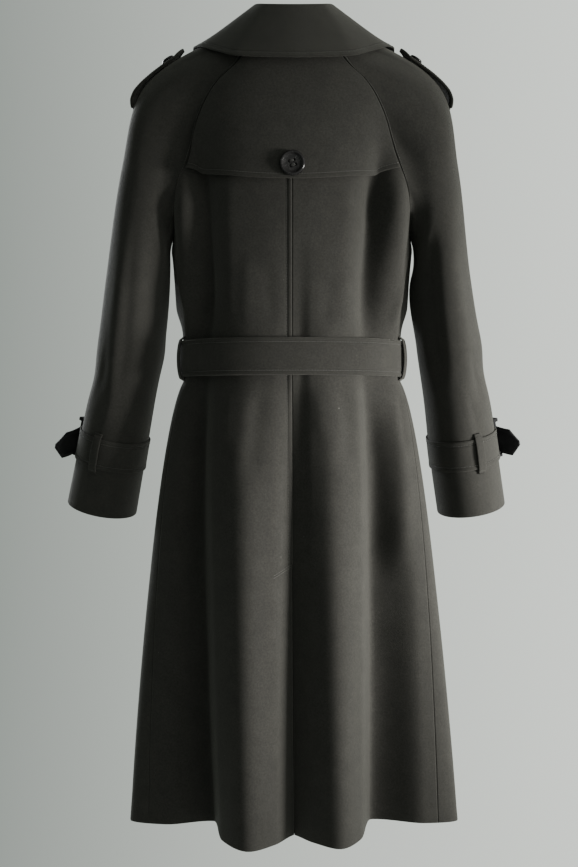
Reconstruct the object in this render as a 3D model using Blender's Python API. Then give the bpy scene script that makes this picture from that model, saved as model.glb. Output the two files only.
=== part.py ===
"""Double-breasted wool coat with raglan sleeves, storm flap, belt, epaulettes and cuff straps.

The coat hangs filled out and hollow, with no wearer. Origin at the centre of the neck opening,
+Z up, the front faces -Y, the wearer's left is +X. Lengths are in metres, angles in degrees.
"""

import math

import bmesh
import bpy
import numpy as np
from mathutils import Matrix, Vector

# Cloth
CLOTH = 0.0024
STRAP_CLOTH = 0.0036
SEAM_GAP = 0.0003
LAY_GAP = 0.0014
SHARP_ANGLE = 40.0

# Heights of the body
HEM = -1.0895
BELT_LOW = -0.486
BELT_HIGH = -0.426
UNDERARM = -0.2785
FOLD_TOP = -0.070
VENT_TOP = -0.731

# Plan of the body at several heights, as a superellipse with its own depth at back and front
ROUNDNESS = 2.2
BODY_SECTIONS = (
    # height, half width, back depth, front depth
    (HEM, 0.2265, 0.0450, 0.0700),
    (BELT_LOW, 0.1495, 0.1000, 0.0920),
    (BELT_HIGH, 0.1495, 0.1000, 0.0920),
    (-0.350, 0.1530, 0.1050, 0.0970),
    (UNDERARM, 0.1600, 0.1090, 0.1000),
    (-0.200, 0.1650, 0.1080, 0.0970),
    (-0.120, 0.1660, 0.1000, 0.0880),
    (-0.060, 0.1350, 0.0860, 0.0760),
    (-0.012, 0.0715, 0.0680, 0.0620),
)
FLARE_POWER = 0.55
FLARE_EASE = 0.01
HEM_LEAN = -0.0030
HEM_DIP = 0.21

# Vertical folds, each a line from the belt to the hem that comes out of the plan or goes in
FOLDS = (
    # name, angle at belt, angle at hem, rise at chest, rise at belt, rise at hem
    ("right front inner valley", -170, -172, 0.000, -0.002, -0.005),
    ("right front inner ridge", -153, -157, 0.000, 0.000, 0.014),
    ("right front valley", -138, -141, -0.004, -0.006, -0.020),
    ("right front ridge", -122, -123, 0.000, 0.000, 0.012),
    ("right front side valley", -105, -106, -0.003, -0.004, -0.014),
    ("right side", -88, -88, 0.000, 0.000, 0.000),
    ("right side ridge", -74, -51.2, 0.000, 0.000, -0.009),
    ("right back valley", -43, -27.0, -0.009, -0.014, -0.041),
    ("right lobe edge", -31, -20.3, -0.003, -0.004, 0.036),
    ("right lobe", -16, -12.8, 0.000, 0.000, 0.066),
    ("right lobe inner", -8, -4.8, 0.000, -0.002, 0.045),
    ("centre back", -3, 0.0, 0.000, -0.006, 0.012),
    ("left lobe inner", 8, 4.9, 0.000, -0.001, 0.047),
    ("left lobe", 20, 12.7, 0.000, 0.000, 0.066),
    ("left lobe edge", 38, 22.2, -0.003, -0.004, 0.036),
    ("left back valley", 54, 28.0, -0.009, -0.014, -0.031),
    ("left side ridge", 70, 49.1, 0.000, 0.000, -0.004),
    ("left side", 88, 88, 0.000, 0.000, 0.000),
    ("left front side valley", 106, 108, -0.003, -0.004, -0.016),
    ("left front ridge", 124, 126, 0.000, 0.000, 0.012),
    ("left front valley", 140, 143, -0.004, -0.006, -0.018),
    ("left front inner ridge", 155, 159, 0.000, 0.000, 0.015),
    ("left front inner valley", 170, 173, 0.000, -0.002, -0.005),
)

# Cloth beside the back raglan seams, pulled back level with the sleeve
SEAM_FILL = (
    # height, how far back
    (-0.430, 0.000),
    (-0.360, 0.012),
    (-0.300, 0.025),
    (-0.255, 0.032),
    (-0.220, 0.023),
    (-0.190, 0.014),
    (-0.150, 0.005),
    (-0.110, 0.000),
)
FILL_TURNS = (38.0, 68.0, 76.0, 90.0)

# Side seams and raglan seams
SIDE_SEAM = ((UNDERARM, 90.0), (-0.450, 77.0), (HEM, 60.0))
RAGLAN_BACK = (
    # height, x, from the underarm to the neck
    (UNDERARM, 0.1600),
    (-0.2430, 0.1570),
    (-0.1910, 0.1446),
    (-0.1450, 0.1298),
    (-0.1150, 0.1162),
    (-0.0900, 0.1004),
    (-0.0640, 0.0737),
    (-0.0145, 0.0440),
)
RAGLAN_FRONT = (
    # height, x, from the underarm to the neck
    (UNDERARM, 0.1600),
    (-0.2300, 0.1540),
    (-0.1600, 0.1340),
    (-0.0900, 0.0990),
    (-0.0400, 0.0640),
)
NECK_BACK = RAGLAN_BACK[-1][0]
NECK_FRONT = RAGLAN_FRONT[-1][0]
NECK_BACK_DROP = 0.0095
NECK_FRONT_DROP = 0.010
NECK_SHOULDER = (0.077, 0.003, 0.000)

# Double-breasted front
OVERLAP = 0.080
BREAK_HEIGHT = -0.300
ROLL_TOP = (0.050, -0.050)
FRONT_LAY = 0.0027

# Sleeve, from the slanting ring at the armhole to the cuff
ARM_RINGS = (
    # outer x of the left, outer x of the right, outer z, inner x, inner z, centre y, half depth
    (0.2075, 0.2075, -0.0900, 0.1680, -0.3050, -0.002, 0.0720),
    (0.2325, 0.2275, -0.1900, 0.1681, -0.3265, -0.003, 0.0715),
)
ARM_SQUARE = 0.55
SEAM_LEVEL = (0.10, 0.40, 0.85, 1.00)
NECK_TURN = 150.0
SLEEVE_RINGS = (
    # height, left centre x, left half width, right centre x, right half width, y, half depth
    (-0.345, 0.2122, 0.0438, 0.2045, 0.0415, -0.004, 0.070),
    (-0.430, 0.2224, 0.0460, 0.2165, 0.0440, -0.014, 0.064),
    (-0.505, 0.2369, 0.0462, 0.2295, 0.0455, -0.025, 0.060),
    (-0.580, 0.2520, 0.0474, 0.2407, 0.0474, -0.040, 0.056),
    (-0.661, 0.2691, 0.0492, 0.2542, 0.0480, -0.058, 0.053),
)

# Storm flap
FLAP_CENTRE_LOW = -0.2255
FLAP_SIDE_LOW = -0.2055
FLAP_SIDE_IN = 0.004
FLAP_TOP = -0.034
FLAP_STAND_OFF = 0.006

# Collar, by how far round the neck seam from centre back (0) to the front end (1)
COLLAR = (
    # round, fold x, fold y, fold z, edge x, edge y, edge z, bulge of the fall
    (0.00, 0.000, 0.0590, 0.0180, 0.000, 0.0955, -0.0630, 0.004),
    (0.25, 0.037, 0.0520, 0.0205, 0.072, 0.0865, -0.0585, 0.004),
    (0.40, 0.049, 0.0350, 0.0255, 0.107, 0.0625, -0.0450, 0.004),
    (0.47, 0.053, 0.0225, 0.0275, 0.126, 0.0425, -0.0355, 0.000),
    (0.54, 0.057, 0.0100, 0.0275, 0.137, 0.0130, -0.0305, -0.004),
    (0.66, 0.062, -0.0110, 0.0200, 0.139, -0.0240, -0.0360, -0.003),
    (0.78, 0.066, -0.0330, 0.0080, 0.132, -0.0560, -0.0560, 0.002),
    (0.92, 0.062, -0.0570, -0.0180, 0.120, -0.0720, -0.0800, 0.004),
    (1.00, 0.051, -0.0690, -0.0400, 0.106, -0.0800, -0.0960, 0.002),
)
COLLAR_LEAN = -0.0025
COLLAR_ROLL = 0.0034

# Lapels
LAPEL_WIDTH = 0.085
LAPEL_TOP = -0.100
LAPEL_ROLL = 0.004

# Vent
VENT_SEWN = 0.012
VENT_UNDER = 0.045

# Belt
BELT_TOP = -0.4305
BELT_BOTTOM = -0.4803
BELT_START = 172.0
BELT_TURN = 398.0
BELT_OFF = 0.0009
BELT_LOOP_WIDTH = 0.012
BELT_LOOP_HEIGHT = 0.060
BELT_LOOP_X = 0.1478
LOOP_CLOTH = 0.0020
BUCKLE_BAR = 0.0030
BUCKLE_RAIL = 0.0060
BUCKLE_WIDE = 0.056

# Buttons
BUTTON_RADIUS = 0.0165
BUTTON_HEIGHT = 0.0045
BUTTON_OFF = 0.0005
BUTTON_SIDES = 12
SMALL_BUTTON_RADIUS = 0.0090
SMALL_BUTTON_HEIGHT = 0.0035
SMALL_BUTTON_OFF = 0.0010
FLAP_BUTTON_HEIGHT = -0.206
FRONT_BUTTON_X = 0.058
FRONT_BUTTON_ROWS = (-0.330, -0.393, -0.545, -0.655)

# Epaulettes, along the shoulder from a start measured from the neck edge
EPAULETTE_START = 0.078
EPAULETTE_HALF_WIDTH = 0.0245
EPAULETTE_BACK = 0.0050
EPAULETTE_BUTTON = 0.024
EPAULETTE = (
    # along, lift off the shoulder, share of the full width
    (0.000, 0.0060, 0.18),
    (0.012, 0.0040, 0.80),
    (0.020, 0.0024, 1.00),
    (0.038, 0.0020, 1.00),
    (0.058, 0.0030, 1.00),
    (0.074, 0.0050, 1.00),
    (0.084, 0.0062, 1.00),
    (0.092, 0.0056, 1.00),
    (0.099, 0.0032, 0.98),
    (0.105, -0.0003, 0.94),
)

# Cuff straps, placed by their height above the cuff and their turn from the underarm
STRAP_OFF = 0.0008
CUFF_STRAP_ABOVE = 0.088
CUFF_STRAP_WIDTH = 0.042
CUFF_LOOP_TURN = 109.0
CUFF_LOOP_HALF_TURN = 6.5
CUFF_LOOP_HEIGHT = 0.056
CUFF_TIP_WIDTH = 0.039
CUFF_TIP_LENGTH = 0.064
CUFF_TIP_POINT = 0.015
CUFF_TIP_FLAT = 0.018
CUFF_TIP_DROP = 0.0075
CUFF_TIP_TURNS = (246.0, 238.0, 230.0)
TIP_THICK = 0.0034
CUFF_BUCKLE_TURN = 216.0
CUFF_BUCKLE_TALL = 0.0565


def smooth(t):
    """Soft step from 0 to 1."""
    t = np.clip(t, 0.0, 1.0)
    return t * t * (3.0 - 2.0 * t)


def through(knots, values, at):
    """Curve through the rows of a table that doesn't swing past them."""
    order = np.argsort(knots)
    knots = np.asarray(knots, float)[order]
    values = np.asarray(values, float)[order]
    step = np.diff(knots)
    rate = np.diff(values) / step
    slope = np.empty_like(values)
    slope[0] = rate[0]
    slope[-1] = rate[-1]
    same = rate[1:] * rate[:-1] > 0.0
    total = np.where(same, rate[1:] + rate[:-1], 1.0)
    slope[1:-1] = np.where(same, 2.0 * rate[1:] * rate[:-1] / total, 0.0)
    at = np.asarray(at, float)
    i = np.clip(np.searchsorted(knots, at, side="right") - 1, 0, len(step) - 1)
    t = np.clip((at - knots[i]) / step[i], 0.0, 1.0)
    lift = t * t * (3.0 - 2.0 * t)
    start = t * (1.0 - t) ** 2 * step[i] * slope[i]
    finish = t * t * (t - 1.0) * step[i] * slope[i + 1]
    return values[i] + (values[i + 1] - values[i]) * lift + start + finish


def unit(v):
    """Vectors of length one."""
    return v / np.maximum(np.linalg.norm(v, axis=-1, keepdims=True), 1e-12)


# The body's surface

def skirt_share(z):
    """How far down the skirt a height is, 0 at the belt and 1 at the hem."""
    return np.clip((BELT_LOW - z) / (BELT_LOW - HEM), 0.0, 1.1)


def flare(z):
    """How far the skirt has opened, 0 at the belt and 1 at the hem."""
    t = skirt_share(z)
    low = FLARE_EASE ** FLARE_POWER
    high = (1.0 + FLARE_EASE) ** FLARE_POWER
    return ((t + FLARE_EASE) ** FLARE_POWER - low) / (high - low)


def section(z):
    """Half width, back depth and front depth of the plan at a height."""
    heights = [row[0] for row in BODY_SECTIONS]
    opened = flare(z)
    found = []
    for column in (1, 2, 3):
        values = [row[column] for row in BODY_SECTIONS]
        upper = through(heights[1:], values[1:], z)
        skirt = values[1] + (values[0] - values[1]) * opened
        found.append(np.where(z < BELT_LOW, skirt, upper))
    return found


def fold_rise(angle, z):
    """How far the folds move the surface out of the plan."""
    turn = (np.degrees(angle) + 180.0) % 360.0 - 180.0
    opened = np.minimum(flare(z), 1.0)
    above = np.clip((z - BELT_HIGH) / (UNDERARM - BELT_HIGH), 0.0, 1.0)
    fade = 1.0 - smooth((z - UNDERARM) / (FOLD_TOP - UNDERARM))
    rows = [FOLDS[-1], *FOLDS, FOLDS[0]]
    shifts = [-360.0, *[0.0] * len(FOLDS), 360.0]
    places = []
    rises = []
    for (_, belt_angle, hem_angle, chest, belt, hem), shift in zip(rows, shifts):
        places.append(belt_angle + (hem_angle - belt_angle) * opened + shift)
        skirt = belt + (hem - belt) * opened
        upper = (belt + (chest - belt) * above) * fade
        rises.append(np.where(z < BELT_LOW, skirt, upper))
    places = np.array(places)
    rises = np.array(rises)
    width = np.diff(places, axis=0)
    rate = np.diff(rises, axis=0) / width
    same = rate[1:] * rate[:-1] > 0.0
    total = np.where(same, rate[1:] + rate[:-1], 1.0)
    slope = np.zeros_like(rises)
    slope[1:-1] = np.where(same, 2.0 * rate[1:] * rate[:-1] / total, 0.0)
    i = np.clip((turn[None] >= places).sum(0) - 1, 0, len(rows) - 2)[None]
    low, wide, start, lead, finish, trail = (
        np.take_along_axis(table, i + step, 0)[0]
        for table, step in (
            (places, 0),
            (width, 0),
            (rises, 0),
            (slope, 0),
            (rises, 1),
            (slope, 1),
        )
    )
    share = np.clip((turn - low) / wide, 0.0, 1.0)
    leaving = share * (1.0 - share) ** 2 * wide * lead
    arriving = share * share * (share - 1.0) * wide * trail
    return start + (finish - start) * smooth(share) + leaving + arriving


def seam_fill(turn, z):
    """How far the cloth beside the back raglan seams is pulled back."""
    start, full, leave, end = FILL_TURNS
    turn = np.abs(turn)
    share = smooth((turn - start) / (full - start)) * smooth((end - turn) / (end - leave))
    return share * through([row[0] for row in SEAM_FILL], [row[1] for row in SEAM_FILL], z)


def surface(angle, z, folds=1.0):
    """Point of the coat's outer surface at an angle from centre back and a height."""
    angle, z = np.broadcast_arrays(np.asarray(angle, float), np.asarray(z, float))
    half, back, front = section(z)
    s = np.sin(angle)
    c = np.cos(angle)
    depth = np.where(c >= 0.0, back, front)
    x = half * np.sign(s) * np.abs(s) ** (2.0 / ROUNDNESS)
    y = depth * np.sign(c) * np.abs(c) ** (2.0 / ROUNDNESS)
    out_x = np.sign(s) * np.abs(s) ** (2.0 - 2.0 / ROUNDNESS) / half
    out_y = np.sign(c) * np.abs(c) ** (2.0 - 2.0 / ROUNDNESS) / depth
    length = np.hypot(out_x, out_y)
    rise = fold_rise(angle, z) * folds
    turn = (np.degrees(angle) + 180.0) % 360.0 - 180.0
    x = x + rise * out_x / length + HEM_LEAN * skirt_share(z) ** 2
    y = y + rise * out_y / length + seam_fill(turn, z)
    return np.stack([x, y, z], axis=-1)


def outward(angle, z, folds=1.0):
    """Direction straight out of the body's surface."""
    turn = 0.012
    lift = 0.003
    across = surface(angle + turn, z, folds) - surface(angle - turn, z, folds)
    up = surface(angle, z + lift, folds) - surface(angle, z - lift, folds)
    return unit(np.cross(up, across))


def on_body(angle, z, out, folds=1.0):
    """Point moved out of the body's surface."""
    out = np.asarray(out, float)[..., None]
    return surface(angle, z, folds) + out * outward(angle, z, folds)


def angle_at(x, z, back=True):
    """Angle from centre back of the place with this x at a height."""
    half = section(np.asarray(z, float))[0]
    turn = np.arcsin(np.clip((np.abs(x) / half) ** (ROUNDNESS / 2.0), 0.0, 1.0))
    turn = np.sign(x) * turn
    return turn if back else np.pi - turn


def even_angles(first, last, z, shares):
    """Angles that share out each row's length of cloth evenly."""
    fine = np.linspace(0.0, 1.0, 321)
    first = np.broadcast_to(np.asarray(first, float), z.shape)
    last = np.broadcast_to(np.asarray(last, float), z.shape)
    angles = first[:, None] + (last - first)[:, None] * fine
    points = surface(angles, np.broadcast_to(z[:, None], angles.shape))
    steps = np.linalg.norm(np.diff(points, axis=1), axis=2)
    run = np.concatenate([np.zeros((len(z), 1)), np.cumsum(steps, axis=1)], axis=1)
    return np.array([np.interp(shares * r[-1], r, a) for r, a in zip(run, angles)])


# Seam lines

def side_angle(z):
    """Angle of the side seam."""
    heights = [row[0] for row in SIDE_SEAM][::-1]
    turns = [row[1] for row in SIDE_SEAM][::-1]
    return np.radians(np.interp(z, heights, turns))


def raglan_angle(z, back):
    """Angle of the raglan seam above the underarm, from centre back."""
    line = RAGLAN_BACK if back else RAGLAN_FRONT
    x = through([row[0] for row in line], [row[1] for row in line], z)
    return angle_at(x, z, back)


def raglan(side, back, shares):
    """Heights and angles that share out the raglan seam evenly, from underarm to neck."""
    top = NECK_BACK if back else NECK_FRONT
    z = np.linspace(UNDERARM, top, 241)
    points = surface(side * raglan_angle(z, back), z)
    steps = np.linalg.norm(np.diff(points, axis=0), axis=1)
    run = np.concatenate([[0.0], np.cumsum(steps)])
    heights = np.interp(np.asarray(shares) * run[-1], run, z)
    return heights, side * raglan_angle(heights, back)


def front_edge(z):
    """x of the right front's free edge, which is the roll line above the break."""
    t = np.clip((z - BREAK_HEIGHT) / (ROLL_TOP[1] - BREAK_HEIGHT), 0.0, 1.0)
    return OVERLAP + (-ROLL_TOP[0] - OVERLAP) * t


def hem_drop(angle, z):
    """How far the hem sinks where the folds come out."""
    at_hem = np.full_like(z, HEM)
    return -HEM_DIP * skirt_share(z) ** 2 * np.maximum(fold_rise(angle, at_hem), 0.0)


# Building solids

def grid_normals(grid, closed):
    """Directions straight out of a grid of points, up to sign."""
    if closed:
        across = np.roll(grid, -1, axis=1) - np.roll(grid, 1, axis=1)
    else:
        across = np.gradient(grid, axis=1)
    along = np.gradient(grid, axis=0)
    return unit(np.cross(along, across))


def pull_back(grid, edge, amount):
    """Moves one edge of a grid of points back along its own surface."""
    if edge == "first column":
        grid[:, 0] += amount * unit(grid[:, 1] - grid[:, 0])
    elif edge == "last column":
        grid[:, -1] += amount * unit(grid[:, -2] - grid[:, -1])
    elif edge == "first row":
        grid[0] += amount * unit(grid[1] - grid[0])
    else:
        grid[-1] += amount * unit(grid[-2] - grid[-1])


def material(name, colour, roughness, metallic=0.0):
    made = bpy.data.materials.new(name)
    made.use_nodes = True
    shader = made.node_tree.nodes["Principled BSDF"]
    shader.inputs["Base Color"].default_value = (*colour, 1.0)
    shader.inputs["Roughness"].default_value = roughness
    shader.inputs["Metallic"].default_value = metallic
    made.diffuse_color = (*colour, 1.0)
    return made


def finish(mesh, name, look):
    """Turns a bmesh into a named object with its material, rounded where its faces are nearly level."""
    bmesh.ops.recalc_face_normals(mesh, faces=mesh.faces)
    if mesh.calc_volume(signed=True) < 0.0:
        bmesh.ops.reverse_faces(mesh, faces=mesh.faces)
    data = bpy.data.meshes.new(name)
    mesh.to_mesh(data)
    mesh.free()
    data.materials.append(look)
    data.shade_smooth()
    data.set_sharp_from_angle(angle=math.radians(SHARP_ANGLE))
    made = bpy.data.objects.new(name, data)
    bpy.context.scene.collection.objects.link(made)
    return made


def wall(name, inner, outer, look, closed=False):
    """Closed wall of cloth between an inner and an outer grid of points."""
    mesh = bmesh.new()
    rows, columns = outer.shape[:2]
    skins = []
    for grid in (inner, outer):
        skins.append([[mesh.verts.new(p) for p in row] for row in grid])
    steps = columns if closed else columns - 1
    for skin in skins:
        for r in range(rows - 1):
            for c in range(steps):
                d = (c + 1) % columns
                mesh.faces.new((skin[r][c], skin[r][d], skin[r + 1][d], skin[r + 1][c]))
    under, over = skins
    for r in (0, rows - 1):
        for c in range(steps):
            d = (c + 1) % columns
            mesh.faces.new((under[r][c], under[r][d], over[r][d], over[r][c]))
    if not closed:
        for c in (0, columns - 1):
            for r in range(rows - 1):
                mesh.faces.new((under[r][c], under[r + 1][c], over[r + 1][c], over[r][c]))
    return finish(mesh, name, look)


def box_frame(name, parts, place, look):
    """Frame made of boxes joined into one body; each box is a centre and three sizes."""
    made = None
    for centre, size in parts:
        mesh = bmesh.new()
        stretch = Matrix.Translation(centre) @ Matrix.Diagonal((*size, 1.0))
        bmesh.ops.create_cube(mesh, size=1.0, matrix=stretch)
        piece = finish(mesh, name + " bar", look)
        if made is None:
            made = piece
            continue
        join = made.modifiers.new("join", "BOOLEAN")
        join.operation = "UNION"
        join.solver = "EXACT"
        join.object = piece
        bpy.context.view_layer.update()
        seen = made.evaluated_get(bpy.context.evaluated_depsgraph_get())
        joined = bpy.data.meshes.new_from_object(seen)
        made.modifiers.clear()
        made.data = joined
        bpy.data.objects.remove(piece)
    made.name = name
    made.data.name = name
    made.data.materials.clear()
    made.data.materials.append(look)
    made.matrix_world = place
    return made


def place_on(point, out, up):
    """Frame with Z straight out of a surface and Y as near to up as it goes."""
    z = Vector(out).normalized()
    x = Vector(up).cross(z).normalized()
    y = z.cross(x)
    turn = Matrix((x, y, z)).transposed().to_4x4()
    return Matrix.Translation(Vector(point)) @ turn


def button(name, place, radius, height, look):
    """Turned button with a raised rim round a dish."""
    profile = (
        (0.0, 0.0),
        (radius * 0.90, 0.0),
        (radius, height * 0.45),
        (radius * 0.88, height),
        (radius * 0.70, height * 0.72),
        (0.0, height * 0.60),
    )
    mesh = bmesh.new()
    line = [mesh.verts.new((r, 0.0, z)) for r, z in profile]
    edges = [mesh.edges.new(pair) for pair in zip(line, line[1:])]
    bmesh.ops.spin(
        mesh,
        geom=line + edges,
        axis=(0.0, 0.0, 1.0),
        cent=(0.0, 0.0, 0.0),
        angle=2.0 * math.pi,
        steps=BUTTON_SIDES,
        use_merge=True,
    )
    bmesh.ops.remove_doubles(mesh, verts=mesh.verts, dist=0.00005)
    made = finish(mesh, name, look)
    made.matrix_world = place
    return made


# Panels of the body

SKIRT_LEVELS = HEM + (BELT_LOW - HEM) * np.linspace(0.0, 1.0, 13)
BELT_LEVELS = np.array([-0.456, BELT_HIGH])
WAIST_LEVELS = np.array([-0.385, -0.350, -0.315, UNDERARM])
LOW_LEVELS = np.concatenate([SKIRT_LEVELS, BELT_LEVELS, WAIST_LEVELS])
BELT_ROW = len(SKIRT_LEVELS)
SEAM_SHARES = np.linspace(0.0, 1.0, 10)
NECK_STEPS = 4
SLEEVE_STATIONS = np.concatenate(
    [[0.0, 0.35, 0.7, 1.0, 1.3, 1.65, 2.0, 2.5], np.linspace(3.0, 7.0, 9)]
)
SHOULDER_ROW = 5


def panel_rows(side, back):
    """Heights of the rows of a panel at its outer edge, and that edge's angles."""
    low = LOW_LEVELS[:-1]
    high, seam = raglan(side, back, SEAM_SHARES)
    heights = np.concatenate([low, high])
    edge = np.concatenate([side * side_angle(low), seam])
    return heights, edge


def back_panel(side, columns=17):
    """Outer points and outward directions of one half of the back."""
    heights, edge = panel_rows(side, True)
    shares = np.linspace(0.0, 1.0, columns)
    angles = even_angles(0.0, edge, heights, shares)
    near_neck = np.clip((heights - UNDERARM) / (NECK_BACK - UNDERARM), 0.0, 1.0)
    drop = NECK_BACK_DROP * near_neck[:, None] ** 3 * (1.0 - shares[None] ** 2)
    z = heights[:, None] - drop
    z = z + hem_drop(angles, z)
    return surface(angles, z), outward(angles, z)


def front_panel(side, columns=15):
    """Outer points and outward directions of one front; the left one lies under the right."""
    heights, edge = panel_rows(side, False)
    free_x = front_edge(heights)
    free = side * (np.pi + angle_at(free_x, heights))
    shares = np.linspace(0.0, 1.0, columns)
    angles = even_angles(edge, free, heights, shares)
    near_neck = np.clip((heights - UNDERARM) / (NECK_FRONT - UNDERARM), 0.0, 1.0)
    z = heights[:, None] - NECK_FRONT_DROP * near_neck[:, None] ** 3 * shares[None]
    z = z + hem_drop(angles, z)
    points = surface(angles, z)
    out = outward(angles, z)
    if side > 0:
        near = front_edge(z) + 0.026 - points[..., 0]
        under = smooth(near / 0.022) * (points[..., 1] < 0.0)
        points = points - (under * (CLOTH + FRONT_LAY))[..., None] * out
    return points, out


# Sleeves

def neck_side(side, turn):
    """Neck edge of the sleeve, from the back raglan seam over the shoulder to the front one."""
    _, back_angle = raglan(side, True, [1.0])
    _, front_angle = raglan(side, False, [1.0])
    back_end = surface(back_angle, np.array([NECK_BACK]))[0]
    front_end = surface(front_angle, np.array([NECK_FRONT]))[0]
    middle = np.array(NECK_SHOULDER) * (side, 1.0, 1.0)
    turn = np.asarray(turn, float)
    spread = 180.0 - NECK_TURN
    share = np.abs(turn - 180.0) / spread
    far = np.where((turn < 180.0)[:, None], back_end, front_end)
    bend_x = np.cos(share * np.pi / 2.0)
    bend_y = np.sin(share * np.pi / 2.0)
    x = far[:, 0] + (middle[0] - far[:, 0]) * bend_x
    y = middle[1] + (far[:, 1] - middle[1]) * bend_y
    z = middle[2] + (far[:, 2] - middle[2]) * (1.0 - bend_x)
    return np.stack([x, y, z], axis=-1)


def sleeve_top(side, turn):
    """Top edge of the sleeve at turns from the underarm, by the back, to the underarm."""
    turn = np.asarray(turn, float)
    points = neck_side(side, np.clip(turn, NECK_TURN, 360.0 - NECK_TURN))
    for back in (True, False):
        share = turn / NECK_TURN if back else (360.0 - turn) / NECK_TURN
        heights, angles = raglan(side, back, np.clip(share, 0.0, 1.0))
        on_seam = (share <= 1.0)[:, None]
        points = np.where(on_seam, surface(angles, heights), points)
    return points


def sleeve_knots(side, turn):
    """Points that each lengthwise line of the sleeve runs through, from the top edge to the cuff."""
    lap = np.radians(turn)
    knots = [sleeve_top(side, turn)]
    for left_x, right_x, outer_z, inner_x, inner_z, y, half_depth in ARM_RINGS:
        outer = np.array([left_x if side > 0 else right_x, y, outer_z])
        inner = np.array([inner_x, y, inner_z])
        ring = (outer + inner) / 2.0 - np.cos(lap)[:, None] * (outer - inner) / 2.0
        swell = np.sin(lap)
        swell = swell * np.where(swell > 0.0, 1.0 + ARM_SQUARE * (1.0 - swell), 1.0)
        ring[:, 1] += swell * half_depth
        knots.append(ring * (side, 1.0, 1.0))
    first = 1 if side > 0 else 3
    centres = np.array([(side * row[first], row[5], row[0]) for row in SLEEVE_RINGS])
    axes = unit(np.gradient(centres, axis=0))
    for centre, axis, row in zip(centres, axes, SLEEVE_RINGS):
        back = np.array([0.0, 1.0, 0.0])
        back = unit(back - axis * np.dot(back, axis))
        away = np.cross(back, axis)
        away = away * np.sign(away[0]) * side
        sweep = np.sin(lap)[:, None] * row[6] * back
        sweep = sweep - np.cos(lap)[:, None] * row[first + 1] * away
        knots.append(centre + sweep)
    return np.array(knots)


def level_start(side, turn, start):
    """Directions in which the sleeve's lines leave the raglan seams, laid level with the body."""
    rise, full, leave, end = SEAM_LEVEL
    level = start
    for back in (True, False):
        share = turn / NECK_TURN if back else (360.0 - turn) / NECK_TURN
        heights, angles = raglan(side, back, np.clip(share, 0.0, 1.0))
        out = outward(angles, heights)
        part = smooth((share - rise) / (full - rise)) * smooth((end - share) / (end - leave))
        level = level - (part * (start * out).sum(-1))[:, None] * out
    return level


def sleeve_points(side, turn, stations):
    """Sleeve's outer points at turns round it and stations along it, one station per knot."""
    turn = np.asarray(turn, float)
    knots = sleeve_knots(side, turn)
    chord = np.linalg.norm(np.diff(knots, axis=0), axis=2, keepdims=True)
    rate = np.diff(knots, axis=0) / chord
    inner = (rate[1:] * chord[:-1] + rate[:-1] * chord[1:]) / (chord[1:] + chord[:-1])
    slope = np.concatenate([level_start(side, turn, rate[0])[None], inner, rate[-1:]])
    made = []
    for station in stations:
        k = min(int(station), len(chord) - 1)
        t = station - k
        lift = t * t * (3.0 - 2.0 * t)
        start = t * (1.0 - t) ** 2 * chord[k] * slope[k]
        end = t * t * (t - 1.0) * chord[k] * slope[k + 1]
        made.append(knots[k] + (knots[k + 1] - knots[k]) * lift + start + end)
    return np.array(made)


def sleeve_turns(back):
    """Turns of a half sleeve's columns, so that they meet the body's rows on the raglan seam."""
    on_seam = SEAM_SHARES * NECK_TURN
    on_neck = np.linspace(NECK_TURN, 180.0, NECK_STEPS)[1:]
    turns = np.concatenate([on_seam, on_neck])
    return turns if back else 360.0 - turns


def sleeve_half(side, back):
    """Outer points and outward directions of half a sleeve."""
    turns = sleeve_turns(back)
    points = sleeve_points(side, turns, SLEEVE_STATIONS)
    step = 2.0
    after = sleeve_points(side, turns + step, SLEEVE_STATIONS)
    before = sleeve_points(side, turns - step, SLEEVE_STATIONS)
    along = np.gradient(points, axis=0)
    out = unit(np.cross(along, after - before))
    ring = sleeve_points(side, np.arange(0.0, 360.0, 10.0), [4.0])[0]
    row = int(np.argmin(np.abs(SLEEVE_STATIONS - 4.0)))
    away = points[row, 6] - ring.mean(axis=0)
    return points, out * np.sign(np.dot(away, out[row, 6]))


def shared_direction(first, second):
    """Direction for both walls at a seam, unless the seam lies in a deep crease."""
    agree = (first * second).sum(-1, keepdims=True)
    both = unit(first + second)
    reach = 1.0 / np.maximum((both * first).sum(-1, keepdims=True), 0.6)
    return np.where(agree > 0.2, both * reach, first), np.where(
        agree > 0.2, both * reach, second
    )


# Pieces that lie on the body

def storm_flap(columns=19, rows=8):
    """Inner and outer points of the flap across the upper back."""
    across = np.linspace(-1.0, 1.0, columns)[None]
    up = np.linspace(0.0, 1.0, rows)[:, None]
    low = FLAP_CENTRE_LOW + (FLAP_SIDE_LOW - FLAP_CENTRE_LOW) * across ** 2
    z = low + (FLAP_TOP - low) * up
    seam = surface(raglan_angle(z, True), z, 0.0)[..., 0]
    angles = angle_at(across * (seam - FLAP_SIDE_IN), z)
    out = LAY_GAP + FLAP_STAND_OFF * (1.0 - up) ** 2 * (1.0 - 0.6 * across ** 2)
    return on_body(angles, z, out), on_body(angles, z, out + CLOTH)


def vent_underlap(columns=7, rows=9):
    """Inner and outer points of the strip under the vent."""
    sewn = np.linspace(-VENT_SEWN, 0.0, 3)
    x = np.concatenate([sewn, np.linspace(0.0, VENT_UNDER, columns)[1:]])[None]
    z = np.linspace(HEM + 0.004, VENT_TOP, rows)[:, None]
    x, z = np.broadcast_arrays(x, z)
    angles = angle_at(x, z)
    z = z + hem_drop(angles, z)
    lay = 0.0010 + 0.0014 * smooth((x + 0.004) / 0.010)
    return on_body(angles, z, -CLOTH - lay - CLOTH), on_body(angles, z, -CLOTH - lay)


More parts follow.
